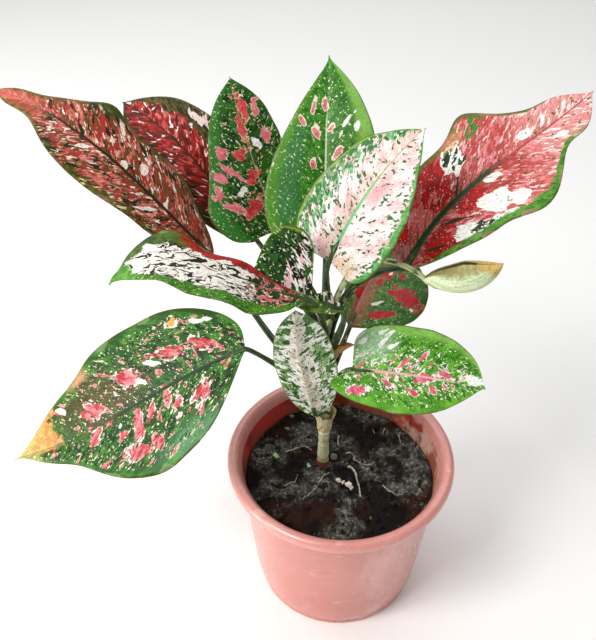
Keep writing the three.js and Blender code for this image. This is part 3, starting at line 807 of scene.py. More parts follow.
def paint_front_small():
    """Dark green with white and pink streaks low down, and a lighter green left half with cream flecks."""
    paint = green_blade("leaf_front_small", (8, 28, 4), (24, 66, 10), (44, 98, 18), 9)
    low = paint.stretch(-0.2, 0.75, 0.1)
    paint.blobs((4, 18, 0), 1.2, 0.5, 0.52, low, detail=4)
    paint.blobs((248, 196, 204), 1.2, 0.26, 0.56, low)
    paint.blobs(WHITE, 1, 0.2, 0.57, low)
    paint.specks((232, 236, 200), 0.13, 0.66)
    paint.layer(paint.left, paint.mottled((62, 104, 26), (120, 148, 62), 0.4, 0.4))
    paint.blobs((244, 240, 216), 0.7, 0.2, 0.6, paint.left)
    paint.layer(paint.margin(0.05, 0.02), (120, 158, 50))
    return paint.blade_done(0.4, None)


def paint_top():
    """Mid green with pink ovals in cream halos and pale dots, and a smooth lighter right side."""
    paint = green_blade("leaf_top", (36, 94, 16), (52, 120, 24), (72, 144, 38), 10)
    bluish = paint.left * paint.ramp(paint.out, 0.3, 0.6) * paint.stretch(0.1, 0.6, 0.1)
    paint.layer(bluish, (66, 128, 72), 0.8)
    paint.layer(paint.right * paint.margin(0.34, 0.12, 0.2), (130, 182, 80), 0.9)
    paint.layer(paint.left * paint.margin(0.2, 0.08), (92, 152, 40), 0.8)
    body = paint.ramp(paint.across, -0.75, -0.55)
    paint.specks((232, 238, 186), 0.14, 0.67, body)
    paint.blobs((232, 232, 190), 0.4, 0.18, 0.68, body)
    ovals = [
        (8, 0.1, 0.8, 0.4, 0), (7.9, 0.8, 0.9, 0.4, -10), (7, 1.4, 0.9, 0.3, 20), (6.5, 0.6, 1, 0.5, 20),
        (6.7, -0.3, 0.7, 0.5, 0), (5.3, -0.7, 1.1, 0.5, -30), (4.6, 0.7, 0.6, 0.4, 0),
    ]
    for along, aside, length, width, turn in ovals:
        paint.layer(paint.patch(along, aside, length, width * 0.9, turn, ragged=1.3), (244, 232, 208))
        inner = paint.patch(along - 0.05, aside, length * 0.7, width * 0.6, turn, ragged=2.2)
        paint.two_tone(inner, (232, 140, 146), (208, 92, 94))
    white = [(7.1, -1.2, 0.9, 0.35, -40), (6.8, -1.8, 0.7, 0.25, -20), (6.4, -0.9, 0.5, 0.2, -30)]
    paint.patches(WHITE, white)
    paint.rib((210, 220, 180), 0.07, 0.2, 0.65)
    return paint.blade_done(0.36, coat=0.04)


def paint_left_upright():
    """Dark green with coral patches, cream dots, and a plain left side."""
    paint = green_blade("leaf_left_upright", (12, 50, 6), (28, 84, 14), (46, 108, 26), 11)
    body = paint.ramp(paint.across, 0.86, 0.6)
    paint.layer(1 - body, (54, 124, 42))
    paint.blobs((232, 228, 194), 0.36, 0.22, 0.65, body)
    paint.blobs((224, 136, 112), 0.5, 0.3, 0.65, body, (230, 212, 168), 0.02)
    paint.specks((232, 238, 194), 0.13, 0.67)
    paint.rib((190, 150, 130), 0.05, 0, 0.9)
    strong = [
        (7.7, -0.3, 1.9, 0.4, 10), (6.4, 0.1, 1.4, 0.5, 0), (5, 0.7, 0.7, 1, 10), (3.5, 0.4, 0.6, 0.9, 20),
        (1.9, 0.9, 0.7, 1.6, 30),
    ]
    paint.patches(paint.mottled((230, 96, 98), (194, 44, 48)), strong, (232, 180, 140), 0.2)
    soft = [
        (5.2, 1.9, 0.7, 0.6, 0), (4.2, 1.7, 1.4, 0.5, 45), (4, 2.5, 0.8, 0.5, 60), (3.1, 3, 0.7, 0.7, 0),
        (2.2, 2.3, 1.1, 0.6, 40), (5.6, -1.3, 0.9, 0.6, -30), (7.4, -1, 0.9, 0.4, -20),
    ]
    paint.patches(paint.mottled((236, 138, 150), (224, 100, 112)), soft, (244, 220, 198), 0.12)
    paint.patches(WHITE, [(5.3, -0.6, 0.8, 0.4, 20), (2.9, 1.4, 0.4, 0.8, 20)])
    return paint.blade_done(0.38)


def paint_pale():
    """White and pale pink with green flecks, greener on its left, a green edge and a pale green midrib."""
    paint = BladePaint("leaf_pale", (240, 230, 224), 12)
    paint.layer(paint.ramp(paint.grain(1.6, 0.7, 4), 0.44, 0.58), (232, 186, 186))
    paint.haze((226, 142, 150), 0.6, 5.2, -0.5, 3, 0.7)
    beside = paint.left * paint.ramp(paint.aside, 0, 0.3) * paint.ramp(paint.aside, 0.9, 0.5)
    paint.layer(beside, (214, 176, 156), 0.5)
    greener = paint.left * paint.ramp(paint.out, 0.1, 0.7)
    paint.blobs((104, 166, 104), 0.5, 0.3, 0.5, greener, detail=5, crisp=0.03)
    paint.blobs((40, 112, 40), 0.45, 0.26, 0.55, greener, detail=4)
    paint.blobs((30, 96, 30), 0.42, 0.22, 0.59, detail=4)
    paint.blobs((40, 116, 44), 0.4, 0.24, 0.53, paint.margin(0.26, 0.1), detail=4)
    paint.two_tone(paint.right * paint.margin(0.1, 0.04, 0.4), (60, 142, 56), (100, 172, 84))
    paint.layer(paint.left * paint.margin(0.06), (122, 166, 70))
    paint.haze((214, 190, 150), 0.8, 0.1, -1.1, 1.6, 1.3)
    paint.specks((70, 48, 24), 0.14, 0.64, paint.patch(0.2, -1, 1.8, 1.4))
    paint.rib((122, 190, 128), 0.12, 0, 0.6)
    paint.rib((190, 150, 110), 0.08, 0.6, 0.95)
    return paint.blade_done(0.36, coat=0.04)


def paint_bract():
    """Pale cream-green, with faint lengthwise veins, a tan tip, and olive beside a seam of painted shade.
    """
    paint = BladePaint("flower", (228, 236, 204), 13)
    lines = paint.noise(paint.uv("share"), (2, 34), 2)
    paint.layer(paint.ramp(lines, 0.4, 0.65), (196, 216, 160))
    paint.layer(paint.ramp(paint.out, 0.35, 0), (150, 176, 92), 0.6)
    high = paint.ramp(paint.out + paint.wobble * 0.3, 0.6, 0.78)
    paint.layer(high, paint.mottled((150, 138, 74), (196, 186, 120), 1.2, 0.5), 0.9)
    paint.layer(high * paint.stretch(-0.2, 0.4, 0.15), (104, 96, 44), 0.7)
    # painted shade: a dark brown band along both margins, where the rolled halves meet and overlap
    paint.layer(paint.margin(0.07, 0.02, 0.05), (58, 46, 16))
    paint.layer(paint.stretch(0.88, 1.2, 0.04), (206, 172, 92), 0.9)
    return paint.blade_done(0.4, None)


# each leaf's paint and slot
LOOKS = {
    "leaf_front": (paint_front, "leaf_white"),
    "leaf_right_front": (paint_right_front, "leaf_green"),
    "leaf_left_lower": (paint_left_lower, "leaf_green"),
    "leaf_right_middle": (paint_right_middle, "leaf_red_spotted"),
    "leaf_left_upper": (paint_left_upper, "leaf_red"),
    "leaf_left_middle": (paint_left_middle, "leaf_white"),
    "leaf_front_small": (paint_front_small, "leaf_dark"),
    "leaf_left_back": (paint_left_back, "leaf_red"),
    "leaf_right_upper": (paint_right_upper, "leaf_red"),
    "leaf_top": (paint_top, "leaf_dark"),
    "leaf_left_upright": (paint_left_upright, "leaf_dark"),
    "leaf_pale": (paint_pale, "leaf_pale"),
}


def paint_petiole(name, base, streak):
    """A leaf stalk: two greens in fine lengthwise streaks."""
    paint = Paint(name, base)
    place = paint.uv("place")
    lines = paint.noise(place, (1.2, 26), 3)
    paint.layer(paint.ramp(lines, 0.4, 0.62), streak)
    paint.mottle(place, (2, 9), 3, 0.62, 0.66, (206, 212, 156), 0.6)
    paint.mottle(place, (1.6, 5), 3, 0.52, 0.6, (14, 32, 6), 0.85)
    paint.bump(lines, 0.4, 0.0005)
    return paint.done(0.42)


def paint_cane():
    """Pale green-cream bark with brown rings and a reddish base."""
    paint = Paint("finish_cane", (196, 200, 150))
    spot = paint.spot()
    height = paint.parts(spot)[2]
    fibres = paint.noise(spot, (420, 420, 60), 3)
    paint.layer(paint.ramp(fibres, 0.42, 0.66), (232, 228, 200))
    paint.mottle(spot, 120, 2, 0.56, 0.66, (130, 148, 84), 0.8)
    count = (height - STEM["bottom"] * MM) / (STEM["scar_spacing"] * MM)
    saw = abs(paint.math("FRACT", count) - 0.5)
    ring = paint.ramp(saw + fibres * 0.03, 0.46, 0.5)
    paint.layer(ring, (160, 148, 96), 0.45)
    ragged = height + paint.noise(spot, 150) * 0.012
    paint.layer(paint.ramp(ragged, 0.1155, 0.1135), (116, 50, 34))
    paint.bump(fibres + ring, 0.5, 0.0006)
    return paint.done(0.55)


def paint_sheath(name, base, streak):
    """Dry papery sheath, streaked along its length."""
    paint = Paint(name, base)
    lines = paint.noise(paint.uv("share"), (3, 30), 4)
    paint.layer(paint.ramp(lines, 0.42, 0.6), streak, 0.8)
    paint.layer(paint.ramp(paint.noise(paint.spot(), 300, 3), 0.58, 0.66), (110, 78, 44), 0.6)
    paint.bump(lines, 0.5, 0.0005)
    return paint.done(0.6)


def paint_pot_outside():
    """Glossy salmon plastic, slightly mottled, with fine scuffs, paler patches, and a rim made paler by
    painted light.
    """
    paint = Paint("finish_pot_outside", (206, 124, 112))
    spot = paint.spot()
    paint.mottle(spot, 14, 3, 0.35, 0.7, (196, 108, 92), 0.8)
    paint.layer(paint.ramp(paint.noise(spot, (26, 26, 9), 4, 0.6), 0.52, 0.7), (228, 164, 154), 0.6)
    # painted light: a paler band over the top of the wall and the rim, where light falls on it from above
    rim = paint.ramp(paint.parts(spot)[2], 0.106, 0.112)
    paint.layer(rim, (228, 160, 154), 0.6)
    scuffs = paint.noise(spot, (60, 60, 400), 4)
    paint.layer(paint.ramp(scuffs, 0.62, 0.72), (242, 196, 184), 0.5)
    paint.mottle(spot, 90, 3, 0.68, 0.76, (176, 92, 80), 0.6)
    grain = paint.noise(spot, 900, 2)
    paint.layer(paint.ramp(grain, 0.5, 0.7), (196, 116, 102), 0.35)
    paint.bump(scuffs + grain, 0.12, 0.0005)
    gloss = paint.noise(spot, 30, 3) * 0.16 + 0.2
    return paint.done(gloss, 0.6, 0.5)


def paint_pot_inside():
    """The salmon plastic painted deep red as painted shade, under a dried grey film of soil water, with
    dark blotches near the soil, and painted light on its right.
    """
    # painted shade: the inside is the same salmon plastic as the outside, painted a deep red
    paint = Paint("finish_pot_inside", (196, 60, 52))
    spot = paint.spot()
    height = paint.parts(spot)[2]
    blotches = paint.noise(spot, 34, 4)
    paint.layer(paint.ramp(blotches, 0.4, 0.62), (150, 26, 20))
    film = height + paint.noise(spot, 60, 4) * 0.03
    paint.layer(paint.ramp(film, 0.128, 0.118), (128, 84, 64), 0.75)
    # painted light: paler patches on the right of the inner wall, where the light from the left falls
    right = paint.parts(spot)[0]
    painted_light_right = paint.ramp(right, 0.02, 0.06) * paint.ramp(paint.noise(spot, 46, 4, 0.6), 0.44, 0.6)
    paint.layer(painted_light_right, (218, 178, 160), 0.8)
    paint.mottle(spot, 70, 3, 0.6, 0.68, (84, 40, 28), 0.7)
    paint.bump(blotches, 0.2, 0.0006)
    return paint.done(0.35, 0.5, 0.2)


def paint_soil():
    """Nearly black peat with a grey dried crust in patches and reddish brown ones."""
    paint = Paint("finish_soil", (18, 13, 10))
    spot = paint.spot()
    paint.mottle(spot, 30, 3, 0.5, 0.66, (58, 26, 14), 0.8)
    crust = paint.ramp(paint.noise(spot, 36, 5, 0.6), 0.46, 0.6)
    grains = paint.noise(spot, 420, 4, 0.7)
    paint.layer(crust, (84, 84, 78), 0.9)
    paint.layer(crust * paint.ramp(grains, 0.5, 0.64), (150, 150, 138))
    paint.layer(crust * paint.ramp(paint.noise(spot, 160, 3), 0.54, 0.6), (22, 18, 14))
    paint.mottle(spot, 600, 2, 0.68, 0.76, (112, 84, 60), 0.7)
    paint.bump(grains + paint.noise(spot, 1400, 3), 0.9, 0.0012)
    return paint.done(0.92, 0.25)


def paint_fibre():
    """Dry pale root or stalk fibre."""
    paint = Paint("finish_fibre", (188, 180, 164))
    place = paint.uv("place")
    paint.mottle(place, (6, 3), 3, 0.4, 0.6, (122, 110, 94))
    paint.bump(paint.noise(place, (14, 10), 2), 0.4, 0.0003)
    return paint.done(0.7)


def paint_chip(name, base, other):
    """A small crumb of mineral or bark, in two mottled colours."""
    paint = Paint(name, base)
    spot = paint.spot()
    mottle = paint.noise(spot, 900, 3)
    paint.layer(paint.ramp(mottle, 0.45, 0.6), other)
    paint.bump(mottle, 0.6, 0.0004)
    return paint.done(0.8)


# ---------- leaves ----------


def stem_at(height):
    share = (height - SOIL["level"]) / (STEM["top"] - SOIL["level"])
    return np.array([*(mix(STEM["root"][axis], STEM["crown"][axis], share) for axis in (0, 1)), height])


def midrib(leaf, neck, stations):
    """Places along a blade's midrib, and its forward, left and upper-face directions there."""
    fine = 600
    middles = (np.arange(fine) + 0.5) / fine
    steps = direction(bend(leaf["turn"], middles), bend(leaf["pitch"], middles)) * leaf["length"] / fine
    places = np.vstack([neck, neck + np.cumsum(steps, axis=0)])
    shares = np.linspace(0, 1, fine + 1)
    at = np.stack([np.interp(stations, shares, places[:, axis]) for axis in range(3)], axis=1)
    turn, pitch, roll = (bend(leaf[name], stations) for name in ("turn", "pitch", "roll"))
    forward = direction(turn, pitch)
    level = direction(turn, pitch + 90)
    twist = np.radians(roll)[:, None]
    face = level * np.cos(twist) - np.cross(forward, level) * np.sin(twist)
    return at, forward, np.cross(face, forward), face


def half_width(leaf, side, u):
    """Half width of one side of a blade at shares u of its length. Side 0 is the left."""
    widest, fullness = leaf["widest"][side], leaf["fullness"][side]
    rising = (u / widest) ** (fullness * widest)
    falling = ((1 - u) / (1 - widest)) ** (fullness * (1 - widest))
    point = 1 - np.exp((u - 1) / BLADE["tip"])
    swelling = 1.0
    for on_side, at, spread, amount in leaf["swells"]:
        if on_side == side:
            swelling = swelling + amount * np.exp(-(((u - at) / spread) ** 2))
    return np.maximum(leaf["width"][side] * rising * falling * point * swelling, BLADE["bluntest"])


def section(leaf, u, v):
    """How far back, aside and up the points at shares u along and v across lie, and their slope."""
    side = 0 if v > 0 else 1
    across = abs(v)
    half = half_width(leaf, side, u)
    at_rib, at_margin = leaf["lift"][side]
    angles = [math.radians(mix(at_rib, at_margin, share * across)) for share in (0, 0.5, 1)]
    aside = (math.cos(angles[0]) + 4 * math.cos(angles[1]) + math.cos(angles[2])) / 6
    raised = (math.sin(angles[0]) + 4 * math.sin(angles[1]) + math.sin(angles[2])) / 6
    height, crests, phase = leaf["ripple"]
    swing = np.sin(TURN * (crests * u + phase + BLADE["ripple_shift"] * side))
    wave = height * across**2 * np.sin(math.pi * u) * swing
    lobing = (1 - np.exp(-u / BLADE["lobe_start"])) * np.maximum(0, 1 - (u / BLADE["lobe_end"]) ** 2)
    back = leaf["lobe"][side] * across * lobing
    sign = np.sign(v)
    return back, sign * half * across * aside, half * across * raised + wave, sign * angles[2], half


def relief(leaf, slant, u, v, half):
    """Fine height over the blade's smooth face: the midrib's groove, the quilting and a frilled margin."""
    across = abs(v)
    aside = half * across
    vein = (u * leaf["length"] - slant * aside - VEIN_CURVE * aside**2) / VEIN_SPACING
    swelling = np.abs(np.sin(math.pi * vein)) ** 0.7 - 0.6
    fade = np.clip(aside / 4, 0, 1) * (1 - across**3) * np.clip((1 - u) * 8, 0, 1)
    groove = -GROOVE * np.exp(-((aside / GROOVE_WIDTH) ** 2)) * (1 - 0.7 * u)
    frill = FRILL * across**4 * np.sin(TURN * (5.3 * u + 0.37 * (v > 0))) * np.clip(half / 12, 0, 1)
    return QUILTING * fade * swelling + groove + frill * np.sin(math.pi * u)


def blade_faces(leaf, slant, neck):
    """The two faces of a blade as grids of points, with each point's share and place."""
    even = np.linspace(0, 1, ROWS + 1)
    u = even - CROWDING * np.sin(TURN * even) / TURN
    at, forward, left, face = midrib(leaf, neck, u)
    steps = np.linspace(0, 1, CELLS + 1)
    half_columns = 0.65 * steps + 0.35 * steps**2
    columns = np.concatenate([-half_columns[:0:-1], half_columns])
    upper, lower, share, place = [], [], [], []
    for v in columns:
        back, aside, raised, slope, half = section(leaf, u, v)
        square = face * math.cos(slope) - left * math.sin(slope)
        point = at - forward * back[:, None] + left * aside[:, None] + face * raised[:, None]
        upper.append(point + square * relief(leaf, slant, u, v, half)[:, None])
        ridge = BLADE["rib"] * (1 - u) * np.exp(-((half * abs(v) / RIDGE_WIDTH) ** 2))
        depth = mix(THIN, THINNEST, abs(v)) + ridge
        lower.append(point - square * depth[:, None])
        share.append(np.stack([u, np.full_like(u, 0.5 + v / 2)], axis=-1))
        place.append(np.stack([u * leaf["length"] / 10 - back / 10, half * v / 10], axis=-1))
    return (np.stack(grid, axis=1) for grid in (upper, lower, share, place))


def add_blade(skin, leaf, slant, neck):
    upper, lower, share, place = blade_faces(leaf, slant, neck)
    rows, columns = upper.shape[:2]
    thickness = upper - lower
    lower[:, [0, -1]] = upper[:, [0, -1]] - unit(thickness[:, [0, -1]]) * THINNEST
    top = skin.add_grid(upper, share, place)
    under = skin.add_grid(lower, share, place, under=1.0, turned=True)
    for row in range(rows - 1):
        here, there = row * columns, (row + 1) * columns
        skin.add_face([top + here, under + here, under + there, top + there], flat=True)
        here, there = here + columns - 1, there + columns - 1
        skin.add_face([top + there, under + there, under + here, top + here], flat=True)
    end = (rows - 1) * columns
    for column in range(columns - 1):
        skin.add_face([top + column + 1, under + column + 1, under + column, top + column], flat=True)
        here = end + column
        skin.add_face([top + here, under + here, under + here + 1, top + here + 1], flat=True)


def petiole_path(leaf, neck):
    """From inside the cane to the neck in one curve, then a little way on under the blade."""
    foot = stem_at(leaf["node"])
    buried = np.linspace(0, PETIOLE["buried"] / leaf["length"], 9)[1:]
    at, forward, _, face = midrib(leaf, neck, np.concatenate([[0.0], buried]))
    span = np.linalg.norm(neck - foot)
    out = foot + direction(leaf["heading"], leaf["leave"]) * leaf["leaving"] * span
    into = neck - forward[0] * leaf["arriving"] * span
    path = bezier([foot, out, into, neck], np.linspace(0, 1, 49))
    return np.vstack([path, at[1:] - face[1:] * 0.9 * BLADE["thickness"]])


def petiole_size(share):
    thinning = min(share / PETIOLE["thinned"], 1)
    sizes = [mix(PETIOLE["sheath"][axis], PETIOLE["neck"][axis], thinning) for axis in (0, 1)]
    ending = min((1 - share) / 0.06, 1)
    return [size * (0.25 + 0.75 * ending) for size in sizes]


def neck_of(leaf):
    return stem_at(leaf["node"]) + [0, 0, leaf["rise"]] + direction(leaf["heading"], 0) * leaf["reach"]


def make_leaf(name, leaf, blade_material, petiole_material, slot):
    """One leaf: its blade, and its petiole as a second material."""
    skin = Skin()
    neck = neck_of(leaf)
    add_blade(skin, leaf, SLANTS.get(name, VEIN_SLANT), neck)
    add_tube(skin, petiole_path(leaf, neck), (0, 0, 1), petiole_size, PETIOLE_SIDES, slot=1, groove=0.5)
    finish_piece(skin.build(name + "_fine", [blade_material, petiole_material]), slot, name)


# ---------- cane ----------


def make_cane():
    """The bare cane, ringed by leaf scars."""
    heights = np.arange(STEM["bottom"], STEM["top"] + 0.5, 1.0)
    path = np.array([stem_at(height) for height in heights])
    length = STEM["top"] - STEM["bottom"]

    def size_at(share):
        height = share * length
        taper = mix(STEM["radius"], STEM["tip_radius"], share)
        from_scar = (height + STEM["scar_spacing"] / 2) % STEM["scar_spacing"] - STEM["scar_spacing"] / 2
        scar = 0.4 * STEM["scar"] * math.exp(-((from_scar / CANE["scar_spread"]) ** 2)) * (height > 5)
        from_swelling = (height - CANE["swelling_at"]) / CANE["swelling_spread"]
        swelling = CANE["swelling"] * math.exp(-(from_swelling**2))
        uneven = 0.18 * math.sin(height / 3.1) + 0.12 * math.sin(height / 1.3 + 1)
        size = (taper + scar + swelling + uneven) * (CANE["end"] if share == 1 else 1)
        return size, size

    skin = Skin()
    add_tube(skin, path, (0, 1, 0), size_at, CANE["sides"])
    finish_piece(skin.build("cane_fine", [paint_cane()]), "cane", "stem")


def make_collar():
    """The torn, dry sheath that flares round the top of the bare cane."""
    sides, steps, bottom = COLLAR["sides"], COLLAR["steps"], COLLAR["bottom"]
    height = COLLAR["top"] - bottom
    angles = TURN * np.arange(sides) / sides
    shares = np.linspace(0, 1, steps)
    places = [Vector((2 * math.cos(angle), 2 * math.sin(angle), 5.0)) for angle in angles]
    tears = np.array([noise.fractal(place, 0.9, 2.0, 4) for place in places])
    skin = Skin()
    walls = []
    for wall in (0, COLLAR["wall"]):
        rings = []
        for share in shares:
            middle = stem_at(bottom + height * share)
            radius = STEM["radius"] + COLLAR["gap"] + COLLAR["flare"] * share**2
            radius = radius + COLLAR["waves"] * share * np.sin(3 * angles) - wall
            x, y = middle[0] + radius * np.cos(angles), middle[1] + 0.85 * radius * np.sin(angles)
            rings.append(np.stack([x, y, bottom + (height + COLLAR["torn"] * tears) * share], axis=-1))
        share = pairs(shares, angles / TURN)
        walls.append(skin.add_grid(np.array(rings), share, share * 1.7, wrap=True, turned=wall == 0))
    for end in (0, (steps - 1) * sides):
        for side in range(sides):
            beside = (side + 1) % sides
            outer, inner = walls[0] + end, walls[1] + end
            face = [outer + side, outer + beside, inner + beside, inner + side]
            skin.add_face(face if end else face[::-1])
    paper = paint_sheath("finish_sheath", (214, 204, 166), (176, 160, 112))
    finish_piece(skin.build("dry_sheath", [paper]), "cane")


def make_scales():
    """Dry orange-brown leaf sheaths that cling to the cane between the stalks."""
    skin = Skin()
    for height, heading, tilt, length in SCALES:
        scale = shaped(
            length=length, turn=(heading, heading, heading + 12), pitch=(tilt, tilt - 14, tilt - 30),
            width=(4.5, 4.5), widest=(0.35, 0.35), fullness=(0.9, 0.9), lift=((50, 60), (50, 60)),
            ripple=(0.4, 3, 0),
        )
        add_blade(skin, scale, VEIN_SLANT, stem_at(height) + direction(heading, 0) * 3.2)
    paper = paint_sheath("finish_scale", (222, 170, 118), (164, 104, 60))
    finish_piece(skin.build("dry_scales", [paper]), "cane")


# ---------- pot ----------


def rounded(corners):
    """A profile through corners of (radius, height, rounding), each rounded by that distance."""
    places = []
    for i, (r, z, rounding) in enumerate(corners):
        here = np.array([r, z], float)
        if rounding == 0 or i in (0, len(corners) - 1):
            places.append(here)
            continue
        before = np.array(corners[i - 1][:2], float)
        after = np.array(corners[i + 1][:2], float)
        back = here + unit(before - here) * min(rounding, 0.45 * np.linalg.norm(before - here))
        on = here + unit(after - here) * min(rounding, 0.45 * np.linalg.norm(after - here))
        for t in np.linspace(0, 1, ROUNDING_STEPS):
            places.append(back * (1 - t) ** 2 + 2 * here * t * (1 - t) + on * t**2)
    return np.array(places)


def pot_profile():
    """The pot's section, from the middle of its underside up over the rim, and then down the inside."""
    foot, wall, rim = POT["foot_radius"], POT["wall"], POT["rim_radius"]
    neck, lip, height = POT["neck_radius"], POT["lip_radius"], POT["height"]
    pad, channel, depth = POT["pad_radius"], POT["channel_radius"], POT["channel_depth"]
    rim_bottom = height - POT["rim_depth"]
    crest = (rim + lip) / 2
    outside = [
        (0.5, 0, 0), (pad, 0, 0.5), (pad + 1, depth, 0.5), (channel - 1, depth, 0.5), (channel, 0, 0.5),
        (foot - 1, 0, 0.3), (foot, 1, 0.6), (foot, POT["foot_height"], 0.4),
        (foot + 0.8, POT["foot_height"] + 0.6, 0.4), (foot + 2, POT["foot_height"] + 6, 3),
        (foot + 3.4, POT["foot_height"] + 16, 6), (neck + wall / 2, rim_bottom - 1, 0.8),
        (rim - 0.6, rim_bottom, 0.5), (rim, rim_bottom + 1.8, 1.2), (rim - 0.5, height - 2, 1.4),
        (crest + 1.8, height - 0.3, 1.6), (crest, height, 1.2), (crest - 2, height - 0.4, 1.0),
        (lip + 0.6, height - 2, 1.2), (neck, rim_bottom - 1, 0),
    ]
    inside = [(neck, rim_bottom - 1, 0), (foot - wall, POT["floor"], 1.5), (0.5, POT["floor"], 0)]
    return rounded(outside), rounded(inside)


def lathe(skin, profile, slot):
    """Adds a profile of (radius, height) turned round the pot's axis."""
    angles = TURN * np.arange(POT_SIDES) / POT_SIDES
    radius, height = profile[:, 0][:, None], profile[:, 1][:, None]
    points = np.stack([radius * np.cos(angles), radius * np.sin(angles), height + 0 * angles], axis=-1)
    share = pairs(profile[:, 1] / POT["height"], angles / TURN)
    return skin.add_grid(points, share, share * 10, slot=slot, wrap=True, turned=True)


def make_pot():
    """The pot, with its drain holes cut through the raised ring of the underside."""
    outside, inside = pot_profile()
    skin = Skin()
    underside = lathe(skin, outside, 0)
    floor = lathe(skin, inside, 1) + (len(inside) - 1) * POT_SIDES
    skin.add_face([underside + side for side in range(POT_SIDES)])
    skin.add_face([floor + side for side in range(POT_SIDES)][::-1], 1)
    piece = skin.build("pot_fine", [paint_pot_outside(), paint_pot_inside()])
    weld(piece)
    cut_drains(piece)
    finish_piece(piece, "pot_plastic", "pot")


def weld(piece):
    """Joins points that lie on each other, and turns all faces outwards."""
    shape = bmesh.new()
    shape.from_mesh(piece.data)
    bmesh.ops.remove_doubles(shape, verts=shape.verts, dist=1e-6)
    bmesh.ops.recalc_face_normals(shape, faces=shape.faces)
    shape.to_mesh(piece.data)
    shape.free()


def cut_drains(piece):
    """Cuts the ring of drain holes through the pot's floor."""
    middle = (POT["pad_radius"] + POT["channel_radius"]) / 2
    radius, depth = POT["drain_radius"] * MM, 4 * POT["floor"] * MM
    shape = bmesh.new()
    for i in range(POT["drains"]):
        angle = TURN * (i + 0.5) / POT["drains"]
        at = Vector((middle * math.cos(angle), middle * math.sin(angle), 0)) * MM
        made = bmesh.ops.create_cone(
            shape, cap_ends=True, segments=DRAIN_SIDES, radius1=radius, radius2=radius, depth=depth
        )
        bmesh.ops.translate(shape, verts=made["verts"], vec=at)
    mesh = bpy.data.meshes.new("drain_cutter")
    shape.to_mesh(mesh)
    shape.free()
    cutter = add_object("drain_cutter", mesh)
    modifier = piece.modifiers.new("drains", "BOOLEAN")
    modifier.operation = "DIFFERENCE"
    modifier.solver = "EXACT"
    modifier.object = cutter
    graph = bpy.context.evaluated_depsgraph_get()
    cut = bpy.data.meshes.new_from_object(piece.evaluated_get(graph), depsgraph=graph)
    piece.modifiers.clear()
    piece.data = cut
    bpy.data.objects.remove(cutter)


# ---------- soil ----------


def soil_height(x, y):
    """Height of the soil's lumpy top, as on the solid."""
    wide = math.sin(x / 9 + 0.8) * math.cos(y / 11 - 0.5)
    fine = math.sin(x / 4.3 + 1.1 * math.sin(y / 7)) * math.cos(y / 5.2 + 1.3 * math.cos(x / 8))
    root = STEM["root"]
    mound = SOIL["mound"] * math.exp(-((x - root[0]) ** 2 + (y - root[1]) ** 2) / 500)
    return SOIL["level"] - SOIL["lean"] * x + SOIL["lumps"] * wide + SOIL["clods"] * fine + mound


def crumbly_height(x, y):
    """The soil's top with its crumbs and cracks."""
    crumbs = 1.1 * noise.fractal(Vector((x / 5, y / 5, 3.1)), 0.8, 2.1, 5)
    grit = 0.5 * abs(noise.noise(Vector((x / 1.1, y / 1.1, 8.0))))
    crack = max(0, 0.14 - abs(noise.noise(Vector((x / 13, y / 13, 1.7))))) * 14
    return soil_height(x, y) + crumbs + grit - crack


def inner_radius_at(height):
    share = (height - POT["floor"]) / (POT["height"] - POT["rim_depth"] - 1 - POT["floor"])
    return mix(POT["foot_radius"] - POT["wall"], POT["neck_radius"], share)


def make_soil():
    """The soil that fills the pot, with a crumbly top."""
    angles = TURN * np.arange(SOIL_SIDES) / SOIL_SIDES
    bottom = POT["floor"] + GAP
    shoulder = SOIL["level"] - SHOULDER
    edge = inner_radius_at(shoulder) - GAP

    def ring(radius, height_of):
        flat = [(radius * math.cos(angle), radius * math.sin(angle)) for angle in angles]
        return [(x, y, height_of(x, y)) for x, y in flat]

    rings = [ring(inner_radius_at(bottom) - GAP, lambda x, y: bottom), ring(edge, lambda x, y: shoulder)]
    rings += [ring(radius, crumbly_height) for radius in np.linspace(edge, 0.6, SOIL_RINGS)]
    points = np.array(rings)
    share = points[:, :, :2] / 160 + 0.5
    skin = Skin()
    skin.add_grid(points, share, points[:, :, :2] / 10, wrap=True, turned=True, capped=True)
    finish_piece(skin.build("soil_fine", [SOIL_PAINT]), "soil", "soil")


def lump(skin, at, size, dice, flatness=0.75):
    """Adds an irregular crumb of about that radius."""
    ball = bmesh.new()
    bmesh.ops.create_icosphere(ball, subdivisions=2, radius=1)
    shift = Vector((dice.uniform(0, 50), dice.uniform(0, 50), dice.uniform(0, 50)))
    turn = Euler((dice.uniform(0, 3), dice.uniform(0, 3), dice.uniform(0, 6))).to_matrix()
    first = len(skin.points)
    for corner in ball.verts:
        rough = 1 + 0.55 * noise.noise(corner.co * 1.3 + shift)
        rough += 0.25 * noise.noise(corner.co * 3.1 + shift)
        local = turn @ Vector((corner.co.x, corner.co.y * 0.8, corner.co.z * flatness)) * rough * size
        skin.points.append(np.array(at) + np.array(local))
        skin.share.append((corner.co.x, corner.co.y))
        skin.place.append((corner.co.x, corner.co.y))
        skin.under.append(0.0)
    for face in ball.faces:
        skin.add_face([first + corner.index for corner in face.verts])
    ball.free()


def make_clods():
    """Loose crumbs on the soil, thicker towards the wall."""
    dice = random.Random(11)
    skin = Skin()
    reach = inner_radius_at(SOIL["level"] - 4) - 3
    for _ in range(CRUMBS):
        radius = reach * dice.random() ** 0.45
        angle = dice.uniform(0, TURN)
        x, y = radius * math.cos(angle), radius * math.sin(angle)
        if math.hypot(x - STEM["root"][0], y - STEM["root"][1]) < 7:
            continue
        size = 0.5 + 1.9 * dice.random() ** 3
        lump(skin, (x, y, crumbly_height(x, y) + 0.2 * size), size, dice)
    finish_piece(skin.build("soil_crumbs", [SOIL_PAINT]), "soil")


